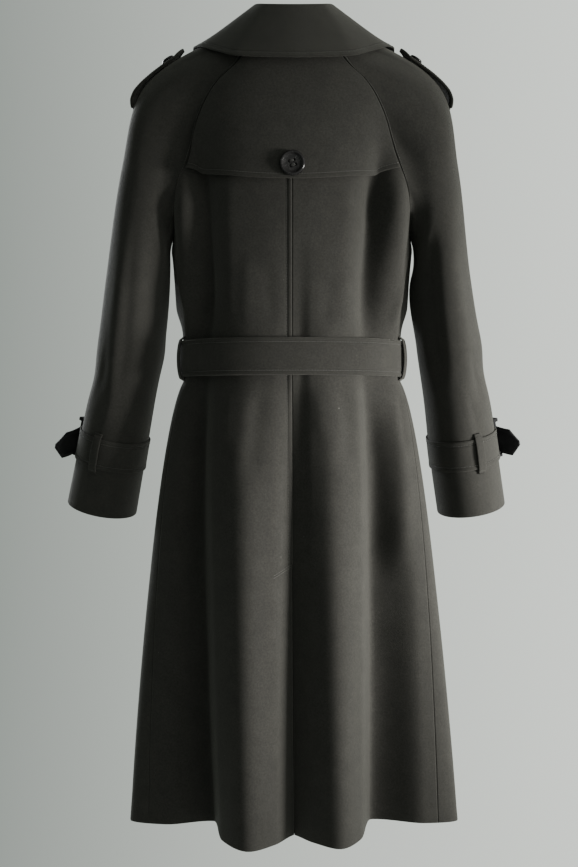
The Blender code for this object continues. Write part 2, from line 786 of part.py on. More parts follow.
def lapel(side, columns=6, rows=10):
    """Inner and outer points of a lapel, folded back from the roll line."""
    start = 0.0
    if side > 0:
        shares = np.linspace(0.0, 1.0, 201)
        inner, _, outer, _ = lapel_edges(side, shares)
        start = shares[np.argmax(outer - inner > 0.010)]
    up = np.linspace(start + 0.02, 1.0, rows)
    inner_x, inner_z, outer_x, outer_z = lapel_edges(side, up)
    share = np.linspace(0.0, 1.0, columns)[None]
    x = inner_x[:, None] + (outer_x - inner_x)[:, None] * share
    z = inner_z[:, None] + (outer_z - inner_z)[:, None] * share
    angles = angle_at(x, z, False)
    out = LAY_GAP + LAPEL_ROLL * np.sin(np.pi * share) * (1.0 - share)
    out = np.broadcast_to(out, z.shape)
    return on_body(angles, z, out), on_body(angles, z, out + CLOTH)


def lapel_edges(side, up):
    """x and z of a lapel's inner and outer edge, from the break to the gorge."""
    inner_z = BREAK_HEIGHT + (ROLL_TOP[1] - 0.004 - BREAK_HEIGHT) * up
    outer_z = BREAK_HEIGHT + (LAPEL_TOP - BREAK_HEIGHT) * up
    width = 0.004 + (LAPEL_WIDTH - 0.004) * up
    inner_x = front_edge(inner_z) - 0.001
    outer_x = front_edge(outer_z) - width
    if side > 0:
        inner_x = np.maximum(-inner_x, front_edge(inner_z) + 0.006)
        outer_x = -outer_x
    return inner_x, inner_z, outer_x, outer_z


# Collar

def neck_line(shares):
    """Points of the neck seam on both sides, from the right front end to the left one."""
    halves = []
    for side in (-1, 1):
        back_row = back_panel(side)[0][-1]
        turns = np.linspace(NECK_TURN, 360.0 - NECK_TURN, 17)
        sleeve_row = sleeve_top(side, turns)
        front_row = front_panel(side)[0][-1]
        line = np.concatenate([back_row, sleeve_row[1:-1], front_row])
        steps = np.linalg.norm(np.diff(line, axis=0), axis=1)
        run = np.concatenate([[0.0], np.cumsum(steps)])
        picked = np.abs(shares[shares < 0.0] if side < 0 else shares[shares >= 0.0])
        halves.append(
            np.stack([np.interp(picked * run[-1], run, line[:, k]) for k in range(3)], -1)
        )
    return np.concatenate(halves)


def collar_value(column, shares, other_side=1.0):
    """One column of the collar's table, from the centre back round to both fronts."""
    knots = [-row[0] for row in COLLAR[:0:-1]] + [row[0] for row in COLLAR]
    values = [row[column] * other_side for row in COLLAR[:0:-1]] + [row[column] for row in COLLAR]
    return through(knots, values, shares)


def collar_lines(shares):
    """Fold line and outer edge of the collar, and the level direction from one to the other."""
    lines = []
    for first in (1, 4):
        x = collar_value(first, shares, -1.0) + COLLAR_LEAN
        y = collar_value(first + 1, shares)
        z = collar_value(first + 2, shares)
        lines.append(np.stack([x, y, z], axis=-1))
    fold, edge = lines
    level = (edge - fold) * (1.0, 1.0, 0.0)
    return fold, edge, unit(level)


def collar_stand(shares):
    """Neck-side and outer points of the collar's stand."""
    fold, _, level = collar_lines(shares)
    foot = neck_line(shares) + (0.0, 0.0, 0.0006)
    top = fold - (0.0, 0.0, COLLAR_ROLL + SEAM_GAP) - (COLLAR_ROLL - CLOTH) * level
    share = np.linspace(0.0, 1.0, 4)[:, None, None]
    outer = foot + (top - foot) * share
    return outer - CLOTH * level, outer


def collar_fall(shares):
    """Under and upper points of the collar's fall, rolled over the fold line."""
    fold, edge, level = collar_lines(shares)
    bulge = collar_value(7, shares)
    centre = fold - (0.0, 0.0, COLLAR_ROLL)
    up = np.array([0.0, 0.0, 1.0])
    slope = unit(edge - fold)
    raised = unit(np.cross(np.cross(slope, up), slope))
    turn_end = np.arctan2((raised * level).sum(-1), raised[:, 2])
    under = []
    upper = []
    for share in (0.0, 0.33, 0.66, 1.0):
        turn = (-np.pi / 2.0 + (turn_end + np.pi / 2.0) * share)[:, None]
        ray = np.sin(turn) * level + np.cos(turn) * up
        under.append(centre + (COLLAR_ROLL - CLOTH) * ray)
        upper.append(centre + COLLAR_ROLL * ray)
    for share in (0.2, 0.4, 0.6, 0.8, 1.0):
        base = under[3] + (edge - under[3]) * share
        base = base + (bulge * np.sin(np.pi * share))[:, None] * raised
        under.append(base)
        upper.append(base + CLOTH * raised)
    return np.array(under), np.array(upper)


# Belt and straps

def belt():
    """Inner and outer points of the belt, which passes over its own start at the front."""
    turns = np.linspace(BELT_START, BELT_START - BELT_TURN, 81)[None]
    z = np.array([BELT_BOTTOM, BELT_TOP])[:, None]
    over = smooth((-148.0 - turns) / 24.0)
    out = BELT_OFF + over * (STRAP_CLOTH + BUCKLE_BAR + 0.0014)
    angles, z, out = np.broadcast_arrays(np.radians(turns), z, out)
    return on_body(angles, z, out, 0.0), on_body(angles, z, out + STRAP_CLOTH, 0.0)


def over_strap(point_at, half_height, strap_half, off, thick):
    """Inner and outer points of a loop that goes over a strap, from foot to foot."""
    foot = 0.0006
    places = (
        (half_height, foot),
        (strap_half + 0.0034, foot),
        (strap_half + 0.0012, off),
        (-strap_half - 0.0012, off),
        (-strap_half - 0.0034, foot),
        (-half_height, foot),
    )
    inner = np.array([point_at(along, out) for along, out in places])
    lifted = []
    for k, (along, out) in enumerate(places):
        spread = thick if 2 <= k <= 3 else 0.0
        lifted.append(point_at(along + math.copysign(spread, along), out + thick))
    return inner, np.array(lifted)


def belt_loop(side):
    middle = (BELT_TOP + BELT_BOTTOM) / 2.0
    place = angle_at(BELT_LOOP_X, middle)
    reach = angle_at(BELT_LOOP_X - BELT_LOOP_WIDTH * 0.35, middle)
    turns = side * np.linspace(place, place - (place - reach) * 2.0, 3)

    def point_at(along, out):
        z = np.full_like(turns, middle + along)
        return on_body(turns, z, np.full_like(turns, out), 0.0)

    strap_half = (BELT_TOP - BELT_BOTTOM) / 2.0
    off = BELT_OFF + STRAP_CLOTH + 0.0008
    return over_strap(point_at, BELT_LOOP_HEIGHT / 2.0, strap_half, off, LOOP_CLOTH)


def station_above_cuff(side, distance):
    """Station on the sleeve at a distance above the cuff, along the sleeve's centre line."""
    stations = np.linspace(4.0, 7.0, 61)
    ring = sleeve_points(side, np.arange(0.0, 360.0, 15.0), stations)
    line = ring.mean(axis=1)
    steps = np.linalg.norm(np.diff(line, axis=0), axis=1)
    run = np.concatenate([[0.0], np.cumsum(steps)])
    return np.interp(run[-1] - np.asarray(distance, float), run, stations)


def on_sleeve(side, turn, above, out):
    """Points of the sleeve at turns round it, moved out, at a distance above the cuff."""
    turn = np.atleast_1d(np.asarray(turn, float))
    station = float(station_above_cuff(side, above))
    points = sleeve_points(side, turn, [station - 0.05, station, station + 0.05])
    wide = sleeve_points(side, turn + 2.0, [station])[0]
    narrow = sleeve_points(side, turn - 2.0, [station])[0]
    straight_out = side * unit(np.cross(points[2] - points[0], narrow - wide))
    return points[1] + np.asarray(out, float) * straight_out


def cuff_strap(side, columns=32):
    turns = np.arange(columns) * 360.0 / columns
    half = CUFF_STRAP_WIDTH / 2.0
    inner = []
    outer = []
    for above in (CUFF_STRAP_ABOVE - half, CUFF_STRAP_ABOVE + half):
        inner.append(on_sleeve(side, turns, above, STRAP_OFF))
        outer.append(on_sleeve(side, turns, above, STRAP_OFF + STRAP_CLOTH))
    return np.array(inner), np.array(outer)


def cuff_loop(side):
    turns = CUFF_LOOP_TURN + np.array([-1.0, 0.0, 1.0]) * CUFF_LOOP_HALF_TURN

    def point_at(along, out):
        return on_sleeve(side, turns, CUFF_STRAP_ABOVE + along, out)

    off = STRAP_OFF + STRAP_CLOTH + 0.0008
    half = CUFF_STRAP_WIDTH / 2.0
    return over_strap(point_at, CUFF_LOOP_HEIGHT / 2.0, half, off, LOOP_CLOTH)


def tip_step(ahead, down, along):
    """Way from the root of a strap end to a distance along it; past the buckle it sinks."""
    past = np.maximum(along - CUFF_TIP_FLAT, 0.0) / (CUFF_TIP_LENGTH - CUFF_TIP_FLAT)
    return ahead * along + down * CUFF_TIP_DROP * past


def cuff_tip(side):
    """Inner and outer points of the stiff strap end that sticks out past the sleeve."""
    off = STRAP_OFF + STRAP_CLOTH + 0.0008
    half = CUFF_TIP_WIDTH / 2.0
    inner = []
    outer = []
    for turn in CUFF_TIP_TURNS:
        low, high = (
            on_sleeve(side, [turn], CUFF_STRAP_ABOVE + k * half, off)[0] for k in (-1, 1)
        )
        lifted = [
            on_sleeve(side, [turn], CUFF_STRAP_ABOVE + k * half, off + TIP_THICK)[0]
            for k in (-1, 1)
        ]
        middle = (low + high) / 2.0
        inner.append(np.array([low, middle, high]))
        outer.append(np.array([lifted[0], (lifted[0] + lifted[1]) / 2.0, lifted[1]]))
    ahead = unit(inner[-1][1] - inner[-2][1])
    down = unit(inner[-1][0] - inner[-1][2])
    flat = CUFF_TIP_LENGTH - CUFF_TIP_POINT
    root_in = inner[-1]
    root_out = outer[-1]
    for share in (0.33, 0.66, 1.0):
        step = tip_step(ahead, down, flat * share)
        inner.append(root_in + step)
        outer.append(root_out + step)
    step = tip_step(ahead, down, CUFF_TIP_LENGTH)
    for grid, root in ((inner, root_in), (outer, root_out)):
        middle = root[1]
        grid.append(np.array([middle + (p - middle) * 0.12 + step for p in root]))
    return np.array(inner), np.array(outer)


def sleeve_frame(side, turn, above, out):
    """Frame on the sleeve: Z straight out, Y up the sleeve."""
    point = on_sleeve(side, [turn], above, out)[0]
    lifted = on_sleeve(side, [turn], above, out + 0.01)[0]
    higher = on_sleeve(side, [turn], above + 0.01, out)[0]
    return place_on(point, lifted - point, higher - point)


def cuff_buckle_bars(side):
    """Boxes of a cuff's buckle: strap end under the front bar and over the rear bar."""
    rear = side
    bars = (
        ((rear * 0.0150, 0.0, 0.0016), (0.0060, CUFF_BUCKLE_TALL, 0.0044)),
        ((-rear * 0.0190, 0.0, 0.0062), (0.0060, CUFF_BUCKLE_TALL, 0.0040)),
    )
    middle = rear * (0.0180 - 0.0220) / 2.0
    high = CUFF_BUCKLE_TALL / 2.0 - 0.0027
    rails = tuple(
        ((middle, sign * high, 0.0038), (0.0400, 0.0054, 0.0088)) for sign in (-1, 1)
    )
    return bars + rails


# Epaulettes

def shoulder_strip(side, lengths, half_widths, out):
    """Points along the top of the shoulder, across a strap of varying width, moved out."""
    turns = np.linspace(NECK_TURN, 360.0 - NECK_TURN, 61)
    patch = sleeve_points(side, turns, np.linspace(0.0, 2.0, 121))
    spine = patch[:, 30]
    run = np.concatenate([[0.0], np.cumsum(np.linalg.norm(np.diff(spine, axis=0), axis=1))])
    rows = np.interp(lengths, run, np.arange(len(run)))
    strip = []
    for row, half in zip(rows, half_widths):
        k = min(int(row), len(patch) - 2)
        line = patch[k] + (patch[k + 1] - patch[k]) * (row - k)
        steps = np.linalg.norm(np.diff(line, axis=0), axis=1)
        across = np.concatenate([[0.0], np.cumsum(steps)])
        across = across - across[30] + EPAULETTE_BACK
        places = np.linspace(half, -half, 5) if side > 0 else np.linspace(-half, half, 5)
        strip.append([[np.interp(w, across, line[:, d]) for d in range(3)] for w in places])
    strip = np.array(strip)
    normals = grid_normals(strip, False)
    normals = normals * np.sign((normals[..., 2]).mean())
    return strip + np.asarray(out)[:, None, None] * normals


def epaulette(side):
    lengths = EPAULETTE_START + np.array([row[0] for row in EPAULETTE])
    lift = np.array([row[1] for row in EPAULETTE])
    widths = EPAULETTE_HALF_WIDTH * np.array([row[2] for row in EPAULETTE])
    inner = shoulder_strip(side, lengths, widths, lift)
    outer = shoulder_strip(side, lengths, widths, lift + STRAP_CLOTH)
    return inner, outer


# Building the coat

SIDES = {"left": 1, "right": -1}


def cut_rows(points, out, row):
    """Grid of points and directions in two, apart by the gap of a seam."""
    low = points[: row + 1].copy(), out[: row + 1]
    high = points[row:].copy(), out[row:]
    pull_back(low[0], "last row", SEAM_GAP / 2.0)
    pull_back(high[0], "first row", SEAM_GAP / 2.0)
    return low, high


def cut_columns(points, out, column):
    """Grid of points and directions in two, apart by the gap of a seam."""
    first = points[:, : column + 1].copy(), out[:, : column + 1]
    last = points[:, column:].copy(), out[:, column:]
    pull_back(first[0], "last column", SEAM_GAP / 2.0)
    pull_back(last[0], "first column", SEAM_GAP / 2.0)
    return first, last


def cloth(name, piece, look):
    """Wall of cloth under a grid of points."""
    points, out = piece
    wall(name, points - CLOTH * out, points, look)


def body_panel(kind, label, points, out, look):
    """One panel of the body, cut under the belt and again down the skirt so that each part is simple."""
    skirt, bodice = cut_rows(points, out, BELT_ROW)
    cloth(kind + label, bodice, look)
    first, last = cut_columns(*skirt, points.shape[1] // 2)
    if kind == "back_":
        cloth(kind + "skirt_" + label, first, look)
        cloth(kind + "skirt_side_" + label, last, look)
    else:
        cloth(kind + "skirt_side_" + label, first, look)
        cloth(kind + "skirt_" + label, last, look)


def body_panels(looks):
    """Backs, fronts and sleeve halves, which share their directions along the raglan seams."""
    backs = {side: back_panel(side) for side in SIDES.values()}
    fronts = {side: front_panel(side) for side in SIDES.values()}
    half_gap = SEAM_GAP / 2.0
    seam_count = len(SEAM_SHARES)
    first_seam_row = len(LOW_LEVELS) - 1
    seam = slice(first_seam_row + 1, first_seam_row + seam_count)
    for label, side in SIDES.items():
        for half_name, (points, out), edge in (
            ("back", backs[side], -1),
            ("front", fronts[side], 0),
        ):
            arm, arm_out = sleeve_half(side, half_name == "back")
            body_out, sleeve_out = shared_direction(out[seam, edge], arm_out[0, 1:seam_count])
            out[seam, edge] = body_out
            arm_out[0, 1:seam_count] = sleeve_out
            for place in ("first column", "last column", "first row"):
                pull_back(arm, place, half_gap)
            shoulder, lower = cut_rows(arm, arm_out, SHOULDER_ROW)
            cloth("shoulder_" + half_name + "_" + label, shoulder, looks["wool"])
            cloth("sleeve_" + half_name + "_" + label, lower, looks["wool"])
        points, out = backs[side]
        for place in ("first column", "last column"):
            pull_back(points, place, half_gap)
        body_panel("back_", label, points, out, looks["wool"])
        points, out = fronts[side]
        pull_back(points, "first column", half_gap)
        body_panel("front_", label, points, out, looks["wool"])


def layers(looks):
    """Cloth that lies on the panels: storm flap, vent underlap, lapels, collar and epaulettes."""
    wall("storm_flap", *storm_flap(), looks["wool"])
    wall("vent_underlap", *vent_underlap(), looks["wool"])
    round_neck = np.linspace(-1.0, 1.0, 41)
    wall("collar_stand", *collar_stand(round_neck), looks["wool"])
    wall("collar_fall", *collar_fall(round_neck), looks["wool"])
    for label, side in SIDES.items():
        wall("lapel_" + label, *lapel(side), looks["wool"])
        wall("epaulette_" + label, *epaulette(side), looks["strap"])


def straps(looks):
    """Belt and cuff straps with their loops, tips and buckles."""
    wall("belt", *belt(), looks["strap"])
    box_frame("belt_buckle", belt_buckle_bars(), belt_buckle_place(), looks["leather"])
    strap_top = STRAP_OFF + STRAP_CLOTH
    for label, side in SIDES.items():
        wall("belt_loop_" + label, *belt_loop(side), looks["strap"])
        wall("cuff_strap_" + label, *cuff_strap(side), looks["strap"], closed=True)
        wall("cuff_loop_" + label, *cuff_loop(side), looks["strap"])
        wall("cuff_tip_" + label, *cuff_tip(side), looks["leather"])
        place = sleeve_frame(side, CUFF_BUCKLE_TURN, CUFF_STRAP_ABOVE, strap_top)
        box_frame("cuff_buckle_" + label, cuff_buckle_bars(side), place, looks["leather"])


def belt_buckle_place():
    """Frame on the belt's start at centre front: Z straight out, Y up."""
    middle = np.array([(BELT_TOP + BELT_BOTTOM) / 2.0])
    out = np.array([BELT_OFF + STRAP_CLOTH])
    point = on_body(np.array([np.pi]), middle, out, 0.0)[0]
    return place_on(point, (0.0, -1.0, 0.0), (0.0, 0.0, 1.0))


def belt_buckle_bars():
    """Boxes of the belt's buckle: a middle bar under the belt's end, and a frame round it."""
    low = 0.0007
    over_belt = BUCKLE_BAR + 0.0014 + STRAP_CLOTH + 0.0008
    deep = over_belt + BUCKLE_BAR - low
    rail_height = (BELT_TOP - BELT_BOTTOM) / 2.0 + 0.0015 + BUCKLE_RAIL / 2.0
    tall = 2.0 * rail_height + BUCKLE_RAIL
    bars = [((0.0, 0.0, low + BUCKLE_BAR / 2.0), (0.005, tall, BUCKLE_BAR))]
    for sign in (-1, 1):
        across = sign * (BUCKLE_WIDE - BUCKLE_RAIL) / 2.0
        bars.append(((across, 0.0, over_belt + BUCKLE_BAR / 2.0), (BUCKLE_RAIL, tall, BUCKLE_BAR)))
        rail_middle = (0.0, sign * rail_height, low + deep / 2.0)
        bars.append((rail_middle, (BUCKLE_WIDE, BUCKLE_RAIL, deep)))
    return bars


def highest_near(grid, point, out, reach, steps=6):
    """How far a grid of points rises above a plane within a reach of a point on it."""
    rows, columns = grid.shape[:2]
    fine_rows = np.linspace(0.0, rows - 1.0, (rows - 1) * steps + 1)
    fine_columns = np.linspace(0.0, columns - 1.0, (columns - 1) * steps + 1)
    r = np.minimum(fine_rows.astype(int), rows - 2)
    c = np.minimum(fine_columns.astype(int), columns - 2)
    along = (fine_rows - r)[:, None, None]
    across = (fine_columns - c)[None, :, None]
    lines = grid[r] * (1.0 - along) + grid[r + 1] * along
    fine = lines[:, c] * (1.0 - across) + lines[:, c + 1] * across
    height = (fine - point) @ out
    apart = np.linalg.norm(fine - point - height[..., None] * out, axis=-1)
    return height[apart < reach].max()


def body_button(name, cloth, x, height, back, look):
    """Large button that sits on the highest point of the cloth under it."""
    height = np.array([height])
    turn = angle_at(np.array([x]), height, back)
    point = surface(turn, height)[0]
    out = outward(turn, height)[0]
    seat = highest_near(cloth, point, out, BUTTON_RADIUS) + BUTTON_OFF
    place = place_on(point + seat * out, out, (0.0, 0.0, 1.0))
    button(name, place, BUTTON_RADIUS, BUTTON_HEIGHT, look)


def buttons(looks):
    """Buttons of the storm flap, the fronts and the epaulettes."""
    flap = storm_flap()[1]
    body_button("storm_flap_button", flap, 0.0, FLAP_BUTTON_HEIGHT, True, looks["horn"])
    top_front = front_panel(SIDES["right"])[0]
    for row, height in enumerate(FRONT_BUTTON_ROWS, start=1):
        for label, side in SIDES.items():
            name = "front_button_" + label + "_" + str(row)
            body_button(name, top_front, side * FRONT_BUTTON_X, height, False, looks["horn"])
    along = EPAULETTE_BUTTON + np.array([-1.0, 0.0, 1.0]) * SMALL_BUTTON_RADIUS
    lift = np.interp(along, [row[0] for row in EPAULETTE], [row[1] for row in EPAULETTE])
    foot_out = lift + STRAP_CLOTH + SMALL_BUTTON_OFF
    widths = np.full(3, SMALL_BUTTON_RADIUS)
    for label, side in SIDES.items():
        foot = shoulder_strip(side, EPAULETTE_START + along, widths, foot_out)[1, 2]
        higher = shoulder_strip(side, EPAULETTE_START + along, widths, foot_out + 0.01)[1, 2]
        place = place_on(foot, higher - foot, (0.0, 1.0, 0.0))
        name = "epaulette_button_" + label
        button(name, place, SMALL_BUTTON_RADIUS, SMALL_BUTTON_HEIGHT, looks["horn"])


def build():
    for old in list(bpy.data.objects):
        bpy.data.objects.remove(old, do_unlink=True)
    looks = {
        "wool": material("charcoal wool", (0.036, 0.035, 0.030), 0.92),
        "strap": material("charcoal wool on the straps", (0.032, 0.031, 0.027), 0.92),
        "horn": material("dark marbled button", (0.016, 0.013, 0.011), 0.22),
        "leather": material("black leather", (0.012, 0.012, 0.013), 0.42),
    }
    body_panels(looks)
    layers(looks)
    straps(looks)
    buttons(looks)
    coat = bpy.data.objects.new("coat", None)
    bpy.context.scene.collection.objects.link(coat)
    for piece in list(bpy.data.objects):
        if piece is not coat:
            piece.parent = coat


build()
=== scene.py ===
import math

import bmesh
import bpy
import numpy as np
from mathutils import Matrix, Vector


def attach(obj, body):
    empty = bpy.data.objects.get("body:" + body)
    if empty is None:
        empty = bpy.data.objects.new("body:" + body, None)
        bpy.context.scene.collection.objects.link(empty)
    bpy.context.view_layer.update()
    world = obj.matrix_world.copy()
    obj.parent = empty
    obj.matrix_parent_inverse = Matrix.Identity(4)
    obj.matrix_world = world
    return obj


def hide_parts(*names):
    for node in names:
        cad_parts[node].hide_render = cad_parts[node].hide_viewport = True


# Wool coat dressed over its frame: cloth with seams, topstitching and creases, buttons, leather.
# Lengths are in metres and angles in degrees. The front faces -Y and the wearer's left is +X.
# The camera stands behind the wearer, at +Y, so the wearer's left is at the left of the picture.

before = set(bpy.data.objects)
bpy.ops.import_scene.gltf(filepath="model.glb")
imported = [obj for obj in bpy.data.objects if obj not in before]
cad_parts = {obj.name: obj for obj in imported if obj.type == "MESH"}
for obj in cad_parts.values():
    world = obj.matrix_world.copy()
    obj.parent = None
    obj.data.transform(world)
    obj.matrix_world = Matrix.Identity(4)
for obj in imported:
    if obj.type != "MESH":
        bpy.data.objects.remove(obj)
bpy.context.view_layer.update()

SIDES = {"left": 1, "right": -1}
BACKWARD = (0.0, 1.0, 0.0)
FORWARD = (0.0, -1.0, 0.0)
UPWARD = (0.0, 0.0, 1.0)

# Cloth
CLOTH = 0.0024
STRAP_CLOTH = 0.0036
SEAM_GAP = 0.0003
LAY_GAP = 0.0014
RIM_TURNS = np.radians((45.0, 0.0, -45.0))
SEAM_ROUNDING = 0.16
YARN_WANDER = 0.0012
TWILL_PITCH = 0.0013
YARN_PITCH = 0.000806

# Steps over which the slope of a surface is taken, the first in radians
SLOPE_TURN = 0.012
SLOPE_UP = 0.003
SLOPE_STATION = 0.05
SLOPE_DEGREES = 2.0

# Material numbers in a mesh
MAIN_LOOK = 0
THREAD_LOOK = 1

# Topstitching
STITCH_IN = 0.0070
STRAP_STITCH_IN = 0.0062
STITCH_LONG = 0.0029
STITCH_PITCH = 0.0037
STITCH_HALF_WIDE = 0.00036
STITCH_HALF_TALL = 0.00034
STITCH_START = 0.0012
STITCH_SIDES = 6
STITCH_RINGS = (
    # share along the stitch, height of its middle, share of its thickness
    (0.00, -0.00055, 0.60),
    (0.18, -0.00005, 0.95),
    (0.50, 0.00008, 1.00),
    (0.82, -0.00005, 0.95),
    (1.00, -0.00055, 0.60),
)
GROOVE = 0.0005
GROOVE_WIDE = 0.0011
WELT = 0.0012
WELT_FLAT = 0.45
STRAP_GROOVE = 0.0009
STRAP_WELT = 0.0004
NEAR_WELT = (0.0, 0.0019, 0.0038, 0.0052, 0.0061, 0.0070, 0.0079, 0.0089, 0.0110, 0.0145)
NEAR_EDGE = (0.0, 0.0020, 0.0048, 0.0095)

# Heights of the body
HEM = -1.0895
BELT_LOW = -0.486
BELT_HIGH = -0.426
UNDERARM = -0.2785
FOLD_TOP = -0.070
VENT_TOP = -0.731

# Rows and columns of the panels
HEM_LEVELS = HEM + np.array([0.0, 0.0020, 0.0050, 0.0095])
SKIRT_LEVELS = np.linspace(HEM + 0.015, BELT_LOW, 84)
VENT_LEVELS = VENT_TOP + np.array([0.002, 0.0, -0.002, -0.004, -0.007, -0.010, -0.013, -0.016])
WAIST_LEVELS = np.linspace(BELT_LOW, UNDERARM, 38)[1:]
LOW_LEVELS = np.unique(np.concatenate([HEM_LEVELS, SKIRT_LEVELS, VENT_LEVELS, WAIST_LEVELS]).round(4))
FINE_STEPS = 481
PANEL_STEPS = 52
RAGLAN_STEPS = 241
SEAM_STEPS = 58
SHOULDER_STEPS = 16
SLEEVE_STEPS = 104

# Plan of the body at several heights, as a superellipse with its own depth at back and front
ROUNDNESS = 2.2
BODY_SECTIONS = (
    # height, half width, back depth, front depth
    (HEM, 0.2265, 0.0450, 0.0700),
    (BELT_LOW, 0.1495, 0.1000, 0.0920),
    (BELT_HIGH, 0.1495, 0.1000, 0.0920),
    (-0.350, 0.1530, 0.1050, 0.0970),
    (UNDERARM, 0.1600, 0.1090, 0.1000),
    (-0.200, 0.1650, 0.1080, 0.0970),
    (-0.120, 0.1660, 0.1000, 0.0880),
    (-0.060, 0.1350, 0.0860, 0.0760),
    (-0.012, 0.0715, 0.0680, 0.0620),
)
FLARE_POWER = 0.55
FLARE_EASE = 0.01
PAST_HEM = 1.1
HEM_LEAN = -0.0030
HEM_DIP = 0.21

# Vertical folds, each a line from the belt to the hem that comes out of the plan or goes in
FOLDS = (
    # angle at belt, angle at hem, rise at chest, rise at belt, rise at hem
    (-170, -172, 0.000, -0.002, -0.005),
    (-153, -157, 0.000, 0.000, 0.014),
    (-138, -141, -0.004, -0.006, -0.020),
    (-122, -123, 0.000, 0.000, 0.012),
    (-105, -106, -0.003, -0.004, -0.014),
    (-88, -88, 0.000, 0.000, 0.000),
    (-74, -51.2, 0.000, 0.000, -0.009),
    (-43, -27.0, -0.009, -0.014, -0.041),
    (-31, -20.3, -0.003, -0.004, 0.033),
    (-16, -12.8, 0.000, 0.000, 0.059),
    (-8, -4.8, 0.000, -0.002, 0.043),
    (-3, 0.0, 0.000, -0.006, 0.032),
    (8, 4.9, 0.000, -0.001, 0.049),
    (20, 12.7, 0.000, 0.000, 0.066),
    (38, 22.2, -0.003, -0.004, 0.036),
    (54, 28.0, -0.009, -0.014, -0.031),
    (70, 49.1, 0.000, 0.000, -0.004),
    (88, 88, 0.000, 0.000, 0.000),
    (106, 108, -0.003, -0.004, -0.016),
    (124, 126, 0.000, 0.000, 0.012),
    (140, 143, -0.004, -0.006, -0.018),
    (155, 159, 0.000, 0.000, 0.015),
    (170, 173, 0.000, -0.002, -0.005),
)

# Smaller creases, each a soft trough or ridge along a line
CREASE_FADE = 0.3
METRES_PER_DEGREE = 0.0026
BODY_CREASES = (
    # angle and height at one end, angle and height at the other end, half width, rise
    (47, -0.130, 52, -0.455, 0.0250, -0.0130),
    (-45, -0.130, -44, -0.455, 0.0260, -0.0150),
    (29, -0.190, 33, -0.440, 0.0150, 0.0026),
    (-25, -0.200, -27, -0.440, 0.0150, 0.0024),
    (70, -0.240, 72, -0.440, 0.0150, 0.0030),
    (-67, -0.250, -70, -0.440, 0.0150, 0.0034),
    (52, -0.485, 42, -0.800, 0.0170, -0.0060),
    (-43, -0.485, -36, -0.780, 0.0180, -0.0070),
    (-62, -0.500, -50, -0.760, 0.0160, 0.0040),
    (-24, -0.489, -21, -0.610, 0.0100, -0.0022),
    (-10, -0.489, -11, -0.570, 0.0090, 0.0014),
    (13, -0.489, 15, -0.630, 0.0100, -0.0020),
    (31, -0.490, 27, -0.590, 0.0095, 0.0016),
    (68, -0.489, 60, -0.580, 0.0090, -0.0016),
    (-70, -0.489, -60, -0.590, 0.0090, -0.0018),
    (-14, -0.424, -17, -0.340, 0.0100, -0.0011),
    (8, -0.424, 11, -0.330, 0.0110, -0.0012),
    (22, -0.424, 20, -0.310, 0.0110, 0.0010),
    (103, -0.256, 103, -0.434, 0.0340, 0.0160),
    (-103, -0.256, -103, -0.434, 0.0340, 0.0160),
    (86, -0.285, 60, -0.425, 0.0090, 0.0045),
    (-86, -0.285, -62, -0.425, 0.0090, 0.0035),
    (30, -0.700, 27, -0.930, 0.0140, -0.0024),
    (-33, -0.660, -30, -0.900, 0.0150, -0.0022),
    (112, -0.489, 114, -0.620, 0.0090, -0.0020),
    (131, -0.489, 129, -0.590, 0.0085, 0.0015),
    (147, -0.489, 149, -0.650, 0.0100, -0.0018),
    (-114, -0.489, -113, -0.600, 0.0090, -0.0021),
    (-133, -0.489, -131, -0.630, 0.0090, 0.0016),
    (-150, -0.489, -152, -0.580, 0.0085, -0.0015),
    (113, -0.424, 118, -0.340, 0.0095, -0.0018),
    (-112, -0.424, -118, -0.352, 0.0090, -0.0016),
    (96, -0.306, 124, -0.366, 0.0110, -0.0026),
    (-97, -0.300, -126, -0.372, 0.0110, -0.0028),
)
STATIONS_PER_DEGREE = 0.040
SLEEVE_CREASES = {
    # turn and station at one end, turn and station at the other end, half width in stations, rise
    1: (
        (100, 2.00, 92, 5.20, 0.70, -0.0035),
        (116, 2.30, 104, 5.60, 0.60, 0.0030),
        (352, 3.30, 300, 4.10, 0.42, -0.0040),
        (356, 3.90, 316, 4.70, 0.36, 0.0022),
        (8, 4.30, 320, 5.10, 0.40, -0.0032),
        (140, 4.30, 100, 5.30, 0.50, -0.0022),
        (230, 3.00, 262, 4.40, 0.60, -0.0040),
        (208, 4.40, 240, 5.20, 0.45, 0.0018),
    ),
    -1: (
        (62, 1.90, 56, 4.80, 0.60, -0.0065),
        (108, 2.10, 112, 5.40, 0.62, 0.0026),
        (354, 3.20, 304, 3.90, 0.42, -0.0038),
        (2, 3.80, 318, 4.50, 0.36, 0.0020),
        (10, 4.20, 326, 5.00, 0.40, -0.0030),
        (136, 4.50, 98, 5.40, 0.50, -0.0020),
        (226, 3.20, 258, 4.60, 0.60, -0.0038),
    ),
}

# Cloth beside the back raglan seams, pulled back level with the sleeve
SEAM_FILL = (
    # height, how far back
    (-0.430, 0.000),
    (-0.360, 0.012),
    (-0.300, 0.025),
    (-0.255, 0.032),
    (-0.220, 0.023),
    (-0.190, 0.014),
    (-0.150, 0.005),
    (-0.110, 0.000),
)
FILL_TURNS = (38.0, 68.0, 76.0, 90.0)
ARM_SQUARE = 0.55
SEAM_LEVEL = (0.10, 0.40, 0.85, 1.00)

